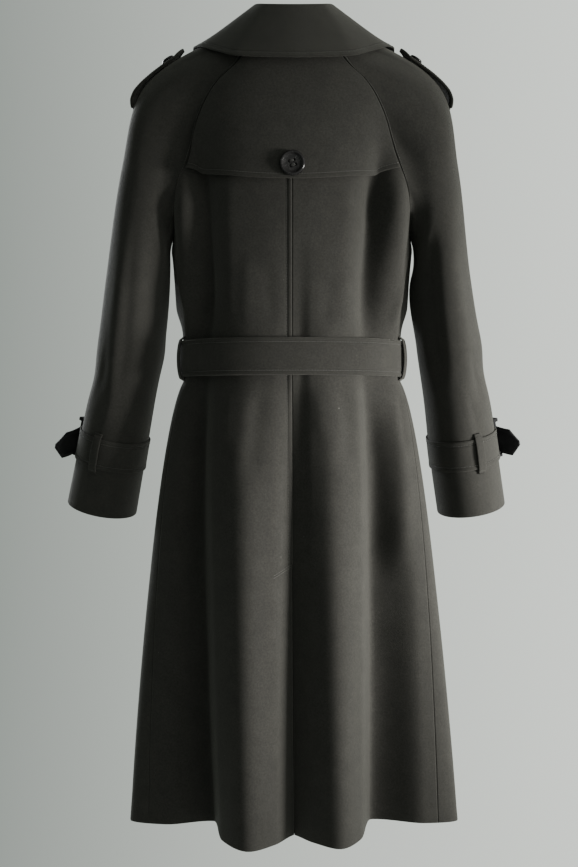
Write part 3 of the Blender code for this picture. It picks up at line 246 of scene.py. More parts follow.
# Side seams and raglan seams
SIDE_SEAM = ((UNDERARM, 90.0), (-0.450, 77.0), (HEM, 60.0))
RAGLAN_BACK = (
    # height, x, from the underarm to the neck
    (UNDERARM, 0.1600),
    (-0.2430, 0.1570),
    (-0.1910, 0.1446),
    (-0.1450, 0.1298),
    (-0.1150, 0.1162),
    (-0.0900, 0.1004),
    (-0.0640, 0.0737),
    (-0.0145, 0.0440),
)
RAGLAN_FRONT = (
    # height, x, from the underarm to the neck
    (UNDERARM, 0.1600),
    (-0.2300, 0.1540),
    (-0.1600, 0.1340),
    (-0.0900, 0.0990),
    (-0.0400, 0.0640),
)
NECK_BACK = RAGLAN_BACK[-1][0]
NECK_FRONT = RAGLAN_FRONT[-1][0]
NECK_BACK_DROP = 0.0095
NECK_FRONT_DROP = 0.010
NECK_POWER = 3
NECK_STEPS = 33
NECK_SHOULDER = (0.077, 0.003, 0.000)

# Double-breasted front
OVERLAP = 0.080
BREAK_HEIGHT = -0.300
ROLL_TOP = (0.050, -0.050)
FRONT_LAY = 0.0027
UNDER_START = 0.026
UNDER_EASE = 0.022
BREAK_EASE = 0.010

# Sleeve, from the slanting ring at the armhole to the cuff
ARM_RINGS = (
    # outer x of the left, outer x of the right, outer z, inner x, inner z, centre y, half depth
    (0.2075, 0.2075, -0.0900, 0.1680, -0.3050, -0.002, 0.0720),
    (0.2325, 0.2275, -0.1900, 0.1681, -0.3265, -0.003, 0.0715),
)
NECK_TURN = 150.0
SLEEVE_RINGS = (
    # height, left centre x, left half width, right centre x, right half width, y, half depth
    (-0.345, 0.2122, 0.0438, 0.2045, 0.0415, -0.004, 0.070),
    (-0.430, 0.2224, 0.0460, 0.2165, 0.0440, -0.014, 0.064),
    (-0.505, 0.2369, 0.0462, 0.2295, 0.0455, -0.025, 0.060),
    (-0.580, 0.2520, 0.0474, 0.2407, 0.0474, -0.040, 0.056),
    (-0.661, 0.2691, 0.0492, 0.2542, 0.0480, -0.058, 0.053),
)
CUFF_STATION = 7.0
ELBOW_STATION = 4.0
ELBOW_STEPS = 61
RING_STEP = 15.0

# Storm flap
FLAP_CENTRE_LOW = -0.2255
FLAP_SIDE_LOW = -0.2055
FLAP_SIDE_IN = 0.004
FLAP_TOP = -0.034
FLAP_STAND_OFF = 0.006
FLAP_SIDE_CLOSE = 0.15
FLAP_CREASED = 0.5
FLAP_STITCH_IN = 0.0062
FLAP_COLUMNS = 101
FLAP_STEPS = 34

# Collar, by how far round the neck seam from centre back (0) to the front end (1)
COLLAR = (
    # round, fold x, fold y, fold z, edge x, edge y, edge z, bulge of the fall
    (0.00, 0.000, 0.0590, 0.0180, 0.000, 0.1040, -0.0655, 0.001),
    (0.25, 0.037, 0.0520, 0.0205, 0.072, 0.0940, -0.0610, 0.001),
    (0.40, 0.049, 0.0350, 0.0255, 0.107, 0.0665, -0.0463, 0.002),
    (0.47, 0.053, 0.0225, 0.0275, 0.126, 0.0425, -0.0355, 0.000),
    (0.54, 0.057, 0.0100, 0.0275, 0.137, 0.0130, -0.0305, -0.004),
    (0.66, 0.062, -0.0110, 0.0200, 0.139, -0.0240, -0.0360, -0.003),
    (0.78, 0.066, -0.0330, 0.0080, 0.132, -0.0560, -0.0560, 0.002),
    (0.92, 0.062, -0.0570, -0.0180, 0.120, -0.0720, -0.0800, 0.004),
    (1.00, 0.051, -0.0690, -0.0400, 0.106, -0.0800, -0.0960, 0.002),
)
COLLAR_LEAN = -0.0025
COLLAR_ROLL = 0.0034
COLLAR_DEEP = 0.088
COLLAR_FOOT = 0.0006
COLLAR_COLUMNS = 241
STAND_ROWS = 14
ROLL_ROWS = 10
NEAR_ROLL = (0.0, 0.0020)
FALL_STEPS = 26

# Lapels
LAPEL_WIDTH = 0.085
LAPEL_TOP = -0.100
LAPEL_ROLL = 0.004
LAPEL_LENGTH = 0.200
LAPEL_FROM = 0.02
LAPEL_START_WIDTH = 0.004
LAPEL_LEAST_WIDTH = 0.010
LAPEL_BELOW_ROLL = 0.004
LAPEL_INSET = 0.001
LAPEL_CLEAR = 0.006
LAPEL_WELT_MOST = 0.9
LAPEL_FINE = 201
LAPEL_STEPS = 60
LAPEL_COLUMNS = 22

# Vent
VENT_SEWN = 0.012
VENT_UNDER = 0.045
VENT_UNDER_UP = 0.0008
VENT_LAY = 0.0010
VENT_LAY_MORE = 0.0014
VENT_EASE_FROM = -0.004
VENT_EASE = 0.010
VENT_SEWN_STEPS = 5
VENT_STEPS = 14
VENT_ROWS = 60
VENT_SEW_EASE = 0.002
VENT_STITCH_START = 0.0012
VENT_STITCH_GAP = 0.0032
VENT_STITCH_OFF = 0.0002
VENT_STITCH_STEPS = 40
VENT_STITCH_ACROSS = 0.0265
VENT_STITCH_DROP = 0.0150
NOTCH_DEEP = 0.0220
NOTCH_TURN = 3.0

# Belt
BELT_TOP = -0.4305
BELT_BOTTOM = -0.4803
BELT_START = 172.0
BELT_TURN = 398.0
BELT_OFF = 0.0009
BELT_OVER_START = -148.0
BELT_OVER_EASE = 24.0
BELT_OVER_GAP = 0.0014
BELT_PILLOW = 0.0005
BELT_WAVE = 0.0004
BELT_WAVES = 7.0
BELT_WAVE_START = 0.6
BELT_COLUMNS = 361
BELT_STEPS = 8
BELT_LOOP_REACH = 0.0042
BELT_LOOP_GAP = 0.0007
BELT_LOOP_HEIGHT = 0.060
BELT_LOOP_X = 0.1478
BELT_LOOP_BOW = 0.0034
BUCKLE_BAR = 0.0030
BUCKLE_MERGE = 0.00002
BUCKLE_ROUNDING = 0.0013
FLAT_TURN = math.radians(2.0)
SHARP_TURN = math.radians(30.0)
ROUND_STEPS = 4

# Loops over the straps
LOOP_CLOTH = 0.0016
LOOP_BOW = 0.0022
LOOP_FOOT = 0.0006
LOOP_SIDE_GAP = 0.0012
LOOP_COLUMNS = 7
LOOP_PATH = (
    # share of the way from the strap's middle to its edge, further, share of the climb, share of the bow
    (1.00, 0.0016, 0.0, 0.0),
    (1.00, 0.0003, 0.5, 0.0),
    (0.94, 0.0000, 1.0, 0.0),
    (0.55, 0.0000, 1.0, 0.7),
    (0.00, 0.0000, 1.0, 1.0),
)

# Epaulettes, along the shoulder from a start measured from the neck edge
EPAULETTE_START = 0.078
EPAULETTE_HALF_WIDTH = 0.0265
EPAULETTE_BACK = 0.0095
EPAULETTE_STEPS = 42
NEAR_TAB = (0.0, 0.0020, 0.0040)
TAB_STEPS = 7
PATCH_STATIONS = 2.0
PATCH_COLUMNS = 61
PATCH_ROWS = 161
EPAULETTE = (
    # along, lift off the shoulder, share of the full width
    (0.000, 0.0060, 0.18),
    (0.012, 0.0040, 0.80),
    (0.020, 0.0024, 1.00),
    (0.038, 0.0020, 1.00),
    (0.058, 0.0030, 1.00),
    (0.074, 0.0050, 1.00),
    (0.084, 0.0062, 1.00),
    (0.092, 0.0056, 1.00),
    (0.099, 0.0032, 0.98),
    (0.105, -0.0003, 0.94),
)

# Cuff straps, placed by their height above the cuff and their turn from the underarm
STRAP_OFF = 0.0005
CUFF_STRAP_ABOVE = 0.088
CUFF_STRAP_WIDTH = 0.042
CUFF_LOOP_TURN = 109.0
CUFF_LOOP_HALF_TURN = 6.5
CUFF_LOOP_HEIGHT = 0.056
CUFF_LOOP_GAP = 0.0006
CUFF_STEP = 2.5
CUFF_STEPS = 7
CUFF_TIP_WIDTH = 0.039
CUFF_TIP_LENGTH = 0.064
CUFF_TIP_POINT = 0.015
CUFF_TIP_FLAT = 0.018
CUFF_TIP_DROP = {1: 0.0160, -1: 0.0085}
CUFF_CLOTH = 0.0017
CUFF_TIP_TURNS = (246.0, 230.0)
TIP_THICK = 0.0034
TIP_STITCH_IN = 0.0048
TIP_GAP = 0.0008
TIP_NARROW = 0.88
TIP_AHEAD = 0.8
TIP_LEAST_WIDTH = 2.4 * TIP_STITCH_IN
TIP_PRESS = (
    # rise, distance from the edge, half width
    (0.0006, 0.0022, 0.0014),
    (-0.0010, TIP_STITCH_IN, 0.0012),
)
NEAR_TIP = (0.0, 0.0018, 0.0034, 0.0050)
TIP_STEPS = 9
TIP_ROOT_ROWS = 13
TIP_FLAT_ROWS = 15
TIP_POINT_ROWS = 9

# Buttons, as shares of the radius and of the height
DISH = 0.62
DISH_ROWS = (0.000, 0.060, 0.110, 0.150, 0.190, 0.225, 0.260, 0.300, 0.340, 0.380, 0.430)
BUTTON_PROFILE = (
    # share of the radius, share of the height, from the middle of the top to the middle of the foot
    *((row, DISH) for row in DISH_ROWS),
    (0.490, 0.63), (0.560, 0.65), (0.630, 0.68), (0.690, 0.735), (0.735, 0.82), (0.775, 0.92),
    (0.815, 0.98), (0.860, 1.00), (0.905, 0.98), (0.945, 0.90), (0.975, 0.77), (0.993, 0.62),
    (1.000, 0.46), (0.990, 0.30), (0.965, 0.14), (0.930, 0.04), (0.880, 0.00), (0.500, 0.00), (0.000, 0.00),
)
BUTTON_TURNS = 72
FRONT_BUTTON_ROWS = 4
BUTTON_TWIST = (0.3, 0.2, 1.0)
HOLE_ROWS = 12
HOLE_SIDE = 0.175
HOLE_FLAT = 0.05775
HOLE_EDGE = 0.063
HOLE_DEEP = 0.55
THREAD_ROWS = 13
THREAD_SIDES = 8
THREAD_REACH = 0.18
THREAD_APART = 0.045
THREAD_RISE = 0.16
THREAD_SINK = 0.30
THREAD_HALF = 0.030

# Camera and studio
CAMERA_PLACE = (0.004, 2.0, -0.557)
CAMERA_LENS = 60.2
CAMERA_SENSOR = 36.0
CAMERA_NEAR = 0.05
FLOOR_HEIGHT = -1.42
FLOOR_RADIUS = 0.84
FLOOR_THICK = 0.03
FLOOR_SIDES = 128
FLOOR_ROUNDING = 0.008
FLOOR_COLOUR = (0.62, 0.64, 0.61)
WALL_PALE = (1.14, 1.20, 1.12)
WALL_DARK = (0.25, 0.285, 0.26)
WALL_PALE_SIDE = -0.26
WALL_DARK_SIDE = 0.26
WALL_LEVEL = 0.30
WALL_STEEP = 0.85
WALL_STEEP_LIGHT = 0.40
LIT_PLACE = (0.0, 0.0, -0.68)
LIGHTS = (
    # name, place, width, height, watts, spread of the beam, colour
    ("key", (-2.5, 0.95, -0.68), 0.7, 0.5, 12.4, 35.0, (1.0, 0.985, 0.95)),
    ("front fill", (1.8, -2.4, 0.4), 1.6, 1.6, 110.0, 180.0, (0.95, 0.98, 1.0)),
)


# Curves and directions

def smooth(share):
    """Soft step from 0 to 1."""
    share = np.clip(share, 0.0, 1.0)
    return share * share * (3.0 - 2.0 * share)


def within(value, start, full, leave, end):
    """Share that rises softly from start to full and falls again from leave to end."""
    return smooth((value - start) / (full - start)) * smooth((end - value) / (end - leave))


def hump(away, half_width):
    """Soft hump of height one."""
    return np.exp(-((away / half_width) ** 2))


def bend(share, start, finish, leave, arrive):
    """Place on a curve from start to finish that leaves and arrives with these slopes."""
    leaving = share * (1.0 - share) ** 2 * leave
    arriving = share * share * (share - 1.0) * arrive
    return start + (finish - start) * smooth(share) + leaving + arriving


def inner_slopes(rate):
    """Slopes at the inner knots that keep a curve from swinging past them."""
    same = rate[1:] * rate[:-1] > 0.0
    total = np.where(same, rate[1:] + rate[:-1], 1.0)
    return np.where(same, 2.0 * rate[1:] * rate[:-1] / total, 0.0)


def columns(table):
    """Columns of a table of rows."""
    return [np.array(column, float) for column in zip(*table)]


def through(knots, values, at):
    """Curve through the rows of a table that doesn't swing past them."""
    order = np.argsort(knots)
    knots = knots[order]
    values = values[order]
    step = np.diff(knots)
    rate = np.diff(values) / step
    slope = np.concatenate([rate[:1], inner_slopes(rate), rate[-1:]])
    at = np.asarray(at, float)
    knot = np.clip(np.searchsorted(knots, at, side="right") - 1, 0, len(step) - 1)
    share = np.clip((at - knots[knot]) / step[knot], 0.0, 1.0)
    leave = step[knot] * slope[knot]
    arrive = step[knot] * slope[knot + 1]
    return bend(share, values[knot], values[knot + 1], leave, arrive)


def unit(vectors):
    """Vectors of length one."""
    return vectors / np.maximum(np.linalg.norm(vectors, axis=-1, keepdims=True), 1e-12)


def run_along(grid, axis):
    """Length run along each line of a grid of points."""
    steps = np.linalg.norm(np.diff(grid, axis=axis), axis=-1)
    start = np.zeros_like(np.take(steps, [0], axis=axis))
    return np.concatenate([start, np.cumsum(steps, axis=axis)], axis=axis)


def sample(places, run, line):
    """Points at distances along a line whose own points lie at the distances in run."""
    return np.stack([np.interp(places, run, line[:, axis]) for axis in range(3)], -1)


def spread(first, last, length, count):
    """Places along a length: set distances from both ends, and even steps between."""
    inner = np.linspace(first[-1], length - last[-1], count + 2)[1:-1]
    return np.concatenate([first, inner, length - np.array(last[::-1])])


def crease_rise(creases, across, along, scale):
    """Sum of soft troughs and ridges, each along the line between its two ends."""
    rise = np.zeros(np.broadcast(across, along).shape)
    for across_start, along_start, across_end, along_end, half_width, height in creases:
        x = (across - across_start) * scale
        y = along - along_start
        line_x = (across_end - across_start) * scale
        line_y = along_end - along_start
        share = np.clip((x * line_x + y * line_y) / (line_x ** 2 + line_y ** 2), 0.0, 1.0)
        apart = np.hypot(x - share * line_x, y - share * line_y)
        fade = smooth(share / CREASE_FADE) * smooth((1.0 - share) / CREASE_FADE)
        rise = rise + height * fade * hump(apart, half_width)
    return rise


# The body's surface

def turn_of(angle):
    """Angle from centre back in degrees, between -180 and 180."""
    return (np.degrees(angle) + 180.0) % 360.0 - 180.0


def skirt_share(z):
    """How far down the skirt a height is, 0 at the belt and 1 at the hem."""
    return np.clip((BELT_LOW - z) / (BELT_LOW - HEM), 0.0, PAST_HEM)


def flare(z):
    """How far the skirt has opened, 0 at the belt and 1 at the hem."""
    low = FLARE_EASE ** FLARE_POWER
    high = (1.0 + FLARE_EASE) ** FLARE_POWER
    return ((skirt_share(z) + FLARE_EASE) ** FLARE_POWER - low) / (high - low)


def section(z):
    """Half width, back depth and front depth of the plan at a height."""
    heights, *sizes = columns(BODY_SECTIONS)
    opened = flare(z)
    found = []
    for size in sizes:
        skirt = size[1] + (size[0] - size[1]) * opened
        found.append(np.where(z < BELT_LOW, skirt, through(heights[1:], size[1:], z)))
    return found


def fold_rise(angle, z):
    """How far the folds move the surface out of the plan."""
    turn = turn_of(angle)
    opened = np.minimum(flare(z), 1.0)
    above = np.clip((z - BELT_HIGH) / (UNDERARM - BELT_HIGH), 0.0, 1.0)
    fade = 1.0 - smooth((z - UNDERARM) / (FOLD_TOP - UNDERARM))
    places = []
    rises = []
    for number in range(-1, len(FOLDS) + 1):
        belt_angle, hem_angle, chest, belt, hem = FOLDS[number % len(FOLDS)]
        lap = 360.0 * (number // len(FOLDS))
        places.append(belt_angle + (hem_angle - belt_angle) * opened + lap)
        skirt = belt + (hem - belt) * opened
        upper = (belt + (chest - belt) * above) * fade
        rises.append(np.where(z < BELT_LOW, skirt, upper))
    places = np.array(places)
    rises = np.array(rises)
    widths = np.diff(places, axis=0)
    slopes = np.zeros_like(rises)
    slopes[1:-1] = inner_slopes(np.diff(rises, axis=0) / widths)
    fold = np.clip((turn[None] >= places).sum(0) - 1, 0, len(widths) - 1)[None]

    def pick(table, step=0):
        return np.take_along_axis(table, fold + step, 0)[0]

    width = pick(widths)
    share = np.clip((turn - pick(places)) / width, 0.0, 1.0)
    return bend(share, pick(rises), pick(rises, 1), width * pick(slopes), width * pick(slopes, 1))


def seam_fill(turn, z):
    """How far the cloth beside the back raglan seams is pulled back."""
    return within(np.abs(turn), *FILL_TURNS) * through(*columns(SEAM_FILL), z)


def vent_notch(turn, z):
    """How far the two edges of the vent roll in where they meet."""
    return -NOTCH_DEEP * np.minimum(flare(z), 1.0) * np.exp(-np.abs(turn) / NOTCH_TURN)


def signed_power(value, power):
    """Power of a value's size, with its sign kept."""
    return np.sign(value) * np.abs(value) ** power


def surface(angle, z, folds=1.0, creased=1.0):
    """Point of the coat's outer surface at an angle from centre back, in radians, and a height."""
    angle, z = np.broadcast_arrays(np.asarray(angle, float), np.asarray(z, float))
    half, back, front = section(z)
    sine = np.sin(angle)
    cosine = np.cos(angle)
    depth = np.where(cosine >= 0.0, back, front)
    out_x = signed_power(sine, 2.0 - 2.0 / ROUNDNESS) / half
    out_y = signed_power(cosine, 2.0 - 2.0 / ROUNDNESS) / depth
    length = np.hypot(out_x, out_y)
    turn = turn_of(angle)
    rise = fold_rise(angle, z) * folds
    if creased and folds > 0.0:
        rise = rise + creased * crease_rise(BODY_CREASES, turn, z, METRES_PER_DEGREE)
        rise = rise + vent_notch(turn, z)
    x = half * signed_power(sine, 2.0 / ROUNDNESS) + rise * out_x / length
    y = depth * signed_power(cosine, 2.0 / ROUNDNESS) + rise * out_y / length
    return np.stack([x + HEM_LEAN * skirt_share(z) ** 2, y + seam_fill(turn, z), z], axis=-1)


def outward(angle, z, *how):
    """Direction straight out of the body's surface."""
    across = surface(angle + SLOPE_TURN, z, *how) - surface(angle - SLOPE_TURN, z, *how)
    up = surface(angle, z + SLOPE_UP, *how) - surface(angle, z - SLOPE_UP, *how)
    return unit(np.cross(up, across))


def on_body(angle, z, out, *how):
    """Point moved out of the body's surface."""
    return surface(angle, z, *how) + np.asarray(out, float)[..., None] * outward(angle, z, *how)


def angle_at(x, z, back=True):
    """Angle from centre back of the place with this x at a height."""
    half = section(np.asarray(z, float))[0]
    turn = np.sign(x) * np.arcsin(np.clip((np.abs(x) / half) ** (ROUNDNESS / 2.0), 0.0, 1.0))
    return turn if back else np.pi - turn


def even_angles(first, last, z, near_first, near_last):
    """Angles along each row, at set distances from its ends and even steps between."""
    first = np.broadcast_to(np.asarray(first, float), z.shape)
    last = np.broadcast_to(np.asarray(last, float), z.shape)
    angles = first[:, None] + (last - first)[:, None] * np.linspace(0.0, 1.0, FINE_STEPS)
    runs = run_along(surface(angles, z[:, None], creased=0.0), 1)
    found = []
    for run, row in zip(runs, angles):
        found.append(np.interp(spread(near_first, near_last, run[-1], PANEL_STEPS), run, row))
    return np.array(found)


# Seam lines

def side_angle(z):
    """Angle of the side seam."""
    heights, turns = columns(SIDE_SEAM)
    return np.radians(np.interp(z, heights[::-1], turns[::-1]))


def raglan_angle(z, back):
    """Angle of the raglan seam above the underarm, from centre back."""
    return angle_at(through(*columns(RAGLAN_BACK if back else RAGLAN_FRONT), z), z, back)


def raglan(side, back, shares):
    """Heights and angles that share out the raglan seam evenly, from underarm to neck."""
    z = np.linspace(UNDERARM, NECK_BACK if back else NECK_FRONT, RAGLAN_STEPS)
    run = run_along(surface(side * raglan_angle(z, back), z, creased=0.0), 0)
    heights = np.interp(np.asarray(shares) * run[-1], run, z)
    return heights, side * raglan_angle(heights, back)


def front_edge(z):
    """x of the right front's free edge, which is the roll line above the break."""
    share = np.clip((z - BREAK_HEIGHT) / (ROLL_TOP[1] - BREAK_HEIGHT), 0.0, 1.0)
    return OVERLAP + (-ROLL_TOP[0] - OVERLAP) * share


def hem_drop(angle, z):
    """How far the hem sinks where the folds come out."""
    at_hem = np.full_like(z, HEM)
    return -HEM_DIP * skirt_share(z) ** 2 * np.maximum(fold_rise(angle, at_hem), 0.0)


# Sheets of cloth

def grid_normals(grid, closed=False):
    """Directions straight out of a grid of points, up to sign."""
    if closed:
        across = np.roll(grid, -1, axis=1) - np.roll(grid, 1, axis=1)
    else:
        across = np.gradient(grid, axis=1)
    return unit(np.cross(np.gradient(grid, axis=0), across))


def edge_lines(grid, edge):
    """Views of the points of a grid along one edge and of those one step in."""
    lines = np.moveaxis(grid, 1 if "column" in edge else 0, 0)
    return (lines[0], lines[1]) if edge.startswith("first") else (lines[-1], lines[-2])


class Sheet:
    """Grid of points on the outside of a piece of cloth, with its thickness and stitching."""

    def __init__(self, points, outside, thick, closed=False):
        """Outside is a rough outward direction, or a grid of them."""
        self.points = np.array(points)
        self.thick = thick
        self.closed = closed
        self.stitches = []
        self.seams = set()
        self.out = grid_normals(self.points, closed)
        self.out = self.out * np.sign((self.out * outside).sum(-1).mean())

    def from_edge(self, edge):
        """Distance of each point from one edge, along the cloth, and the axis it runs along."""
        axis = 1 if "column" in edge else 0
        run = run_along(self.points, axis)
        if edge.startswith("last"):
            run = np.take(run, [-1], axis=axis) - run
        return axis, run

    def pull_back(self, *edges):
        """Moves edges back along the cloth by half the gap of a seam."""
        self.seams.update(edges)
        for edge in edges:
            border, inside = edge_lines(self.points, edge)
            border += SEAM_GAP / 2.0 * unit(inside - border)

    def sew(self, edge, inset=STITCH_IN, welt=0.0, keep=None, groove=GROOVE):
        """Presses a line of topstitching into the cloth along an edge; keep says how much of it."""
        axis, away = self.from_edge(edge)
        lines, outs, runs = (np.moveaxis(grid, axis, 1) for grid in (self.points, self.out, away))
        kept = np.ones(len(lines)) if keep is None else keep
        path = []
        for line, out, run, share in zip(lines, outs, runs, kept):
            order = np.argsort(run)
            if share > 0.5:
                path.append([sample(inset, run[order], grid[order]) for grid in (line, out)])
        path = np.array(path)
        if self.closed and axis == 0:
            path = np.concatenate([path, path[:1]])
        self.stitches.append((path[:, 0], path[:, 1]))
        press = welt * (1.0 - smooth((away / inset - WELT_FLAT) / (1.0 - WELT_FLAT)))
        press = press - groove * hump(away - inset, GROOVE_WIDE)
        press = press * np.expand_dims(kept, axis)
        self.points = self.points + press[..., None] * self.out

    def size(self):
        """Width and length of the cut, and its area."""
        grid = self.points
        if self.closed:
            grid = np.concatenate([grid, grid[:, :1]], axis=1)
        width = run_along(grid, 1)[:, -1].max()
        length = run_along(grid, 0)[-1].max()
        diagonals = np.cross(grid[1:, 1:] - grid[:-1, :-1], grid[1:, :-1] - grid[:-1, 1:])
        area = np.linalg.norm(diagonals, axis=-1).sum() / 2.0
        return width, length, min(area, width * length)


# Meshes

def place_object(name, data):
    """New object in the scene."""
    made = bpy.data.objects.new(name, data)
    bpy.context.scene.collection.objects.link(made)
    return made


class Parts:
    """Vertices, faces, flat places and material numbers gathered for one mesh."""

    def __init__(self):
        self.points = []
        self.faces = []
        self.flat = []
        self.looks = []
        self.count = 0

    def add(self, points, blocks, look, flat=None):
        """Takes points, with blocks of faces that count from the first of them."""
        for block in blocks:
            self.faces.extend((np.asarray(block) + self.count).tolist())
            self.looks.extend([look] * len(block))
        self.points.append(points)
        self.flat.append(np.zeros((len(points), 2)) if flat is None else flat)
        self.count += len(points)

    def make(self, name, looks):
        """Mesh object of everything that was added, with its faces turned outwards."""
        data = bpy.data.meshes.new(name)
        data.from_pydata(np.concatenate(self.points).tolist(), [], self.faces)
        for look in looks:
            data.materials.append(look)
        data.polygons.foreach_set("material_index", self.looks)
        layer = data.uv_layers.new(name="cloth")
        corners = np.empty(len(data.loops), int)
        data.loops.foreach_get("vertex_index", corners)
        layer.data.foreach_set("uv", np.concatenate(self.flat)[corners].ravel())
        turned = bmesh.new()
        turned.from_mesh(data)
        bmesh.ops.recalc_face_normals(turned, faces=turned.faces)
        main = [face for face in turned.faces if face.material_index == MAIN_LOOK]
        if sum(face.calc_center_median().dot(face.normal) * face.calc_area() for face in main) < 0.0:
            bmesh.ops.reverse_faces(turned, faces=main)
        turned.to_mesh(data)
        turned.free()
        data.shade_smooth()
        return place_object(name, data)


def grid_faces(rows, count, closed=True):
    """Quads of a grid of points numbered row by row; a closed one joins its last column to its first."""
    number = np.arange(rows * count).reshape(rows, count)
    if closed:
        number = np.concatenate([number, number[:, :1]], axis=1)
    corners = (number[:-1, :-1], number[:-1, 1:], number[1:, 1:], number[1:, :-1])
    return np.stack(corners, -1).reshape(-1, 4)


def tube_faces(rings, sides):
    """Quads of a tube, and of the fans that close its two ends."""
    caps = []
    for first in (0, (rings - 1) * sides):
        for side in range(first, first + sides - 2, 2):
            caps.append((first, side + 1, side + 2, side + 3))
    return np.concatenate([grid_faces(rings, sides), caps])


def rim(sheet):
    """Numbers of a sheet's border points as loops, and the directions that lead off its edges."""
    off = np.zeros_like(sheet.points)
    edges = ("first row", "last row")
    if not sheet.closed:
        edges += ("first column", "last column")
    for edge in edges:
        border, inside = edge_lines(sheet.points, edge)
        away = edge_lines(off, edge)[0]
        away += unit(border - inside) * (SEAM_ROUNDING if edge in sheet.seams else 1.0)
    rows, count = sheet.points.shape[:2]
    number = np.arange(rows * count).reshape(rows, count)
    if sheet.closed:
        return [number[0], number[-1]], off
    return [np.concatenate([number[0], number[1:, -1], number[-1, -2::-1], number[-2:0:-1, 0]])], off


def add_shell(parts, sheet):
    """Closed shell of cloth with rounded edges."""
    rows, count = sheet.points.shape[:2]
    half = sheet.thick / 2.0
    loops, off = rim(sheet)
    face, out, off = (grid.reshape(-1, 3) for grid in (sheet.points, sheet.out, off))
    flat = np.stack([run_along(sheet.points, 1), run_along(sheet.points, 0)], -1).reshape(-1, 2)
    quads = grid_faces(rows, count, sheet.closed)
    outer = face - half * off
    points = [outer, outer - sheet.thick * out]
    places = [flat, flat]
    blocks = [quads, quads[:, ::-1] + rows * count]
    total = 2 * rows * count
    for border in loops:
        rings = [border]
        for turn in RIM_TURNS:
            ring = face[border] - half * (1.0 - math.cos(turn)) * off[border]
            points.append(ring - half * (1.0 - math.sin(turn)) * out[border])
            places.append(flat[border])
            rings.append(total + np.arange(len(border)))
            total += len(border)
        rings.append(border + rows * count)
        for upper, lower in zip(rings, rings[1:]):
            blocks.append(np.stack([upper, np.roll(upper, -1), np.roll(lower, -1), lower], -1))
    parts.add(np.concatenate(points), blocks, MAIN_LOOK, np.concatenate(places))


def around(sides):
    """Even turns all the way round."""
    return np.radians(np.arange(sides) * 360.0 / sides)


def add_stitches(parts, line, out):
    """Short lengths of thread along a line on the cloth."""
    run = run_along(line, 0)
    starts = np.arange(STITCH_START, run[-1] - STITCH_LONG, STITCH_PITCH)
    if not len(starts):
        return
    ahead = unit(sample(starts + STITCH_LONG, run, line) - sample(starts, run, line))
    up = unit(sample(starts + STITCH_LONG / 2.0, run, out))
    wide = unit(np.cross(up, ahead))
    corners = []
    for share, height, size in STITCH_RINGS:
        middle = sample(starts + share * STITCH_LONG, run, line) + height * up
        for turn in around(STITCH_SIDES):
            across = math.cos(turn) * STITCH_HALF_WIDE * size
            lift = math.sin(turn) * STITCH_HALF_TALL * size
            corners.append(middle + across * wide + lift * up)
    points = np.stack(corners, 1)
    first = len(corners) * np.arange(len(starts))
    faces = (tube_faces(len(STITCH_RINGS), STITCH_SIDES) + first[:, None, None]).reshape(-1, 4)
    flat = np.zeros((points.shape[0] * points.shape[1], 2))
    flat[:, 0] = np.repeat(starts, len(corners))
    parts.add(points.reshape(-1, 3), [faces], THREAD_LOOK, flat)


def add_thread(parts, line, wide, up, half):
    """Round thread along a line."""
    corners = []
    for turn in around(THREAD_SIDES):
        corners.append(line + half * (math.cos(turn) * wide + math.sin(turn) * up))
    points = np.stack(corners, 1).reshape(-1, 3)
    parts.add(points, [tube_faces(len(line), THREAD_SIDES)], THREAD_LOOK)


# Panels of the body

def panel_rows(side, back):
    """Heights of the rows of a panel at its outer edge, and that edge's angles."""
    low = LOW_LEVELS[:-1]
    high, seam = raglan(side, back, np.linspace(0.0, 1.0, SEAM_STEPS))
    return np.concatenate([low, high]), np.concatenate([side * side_angle(low), seam])


def neck_share(heights, top):
    """How near the neck a height is."""
    return np.clip((heights - UNDERARM) / (top - UNDERARM), 0.0, 1.0)[:, None] ** NECK_POWER


def back_panel(side):
    """Outer points of one half of the back."""
    heights, edge = panel_rows(side, True)
    angles = even_angles(0.0, edge, heights, NEAR_WELT, NEAR_EDGE)
    shares = angles / edge[:, None]
    z = heights[:, None] - NECK_BACK_DROP * neck_share(heights, NECK_BACK) * (1.0 - shares ** 2)
    return surface(angles, z + hem_drop(angles, z))


def front_panel(side):
    """Outer points of one front; the left one lies under the right."""
    heights, edge = panel_rows(side, False)
    free = side * (np.pi + angle_at(front_edge(heights), heights))
    angles = even_angles(edge, free, heights, NEAR_EDGE, NEAR_WELT)
    shares = (angles - edge[:, None]) / (free - edge)[:, None]
    z = heights[:, None] - NECK_FRONT_DROP * neck_share(heights, NECK_FRONT) * shares
    z = z + hem_drop(angles, z)
    points = surface(angles, z)
    if side > 0:
        lap = front_edge(z) + UNDER_START - points[..., 0]
        under = smooth(lap / UNDER_EASE) * (points[..., 1] < 0.0)
        points = points - (under * (CLOTH + FRONT_LAY))[..., None] * outward(angles, z)
    return points


# Sleeves

def neck_side(side, turn):
    """Neck edge of the sleeve, from the back raglan seam over the shoulder to the front one."""
    ends = []
    for back, height in ((True, NECK_BACK), (False, NECK_FRONT)):
        ends.append(surface(raglan(side, back, [1.0])[1], np.array([height]))[0])
    middle = np.array(NECK_SHOULDER) * (side, 1.0, 1.0)
    share = np.abs(turn - 180.0) / (180.0 - NECK_TURN)
    far = np.where((turn < 180.0)[:, None], *ends)
    bend_x = np.cos(share * np.pi / 2.0)
    bend_y = np.sin(share * np.pi / 2.0)
    x = far[:, 0] + (middle[0] - far[:, 0]) * bend_x
    y = middle[1] + (far[:, 1] - middle[1]) * bend_y
    z = middle[2] + (far[:, 2] - middle[2]) * (1.0 - bend_x)
    return np.stack([x, y, z], axis=-1)


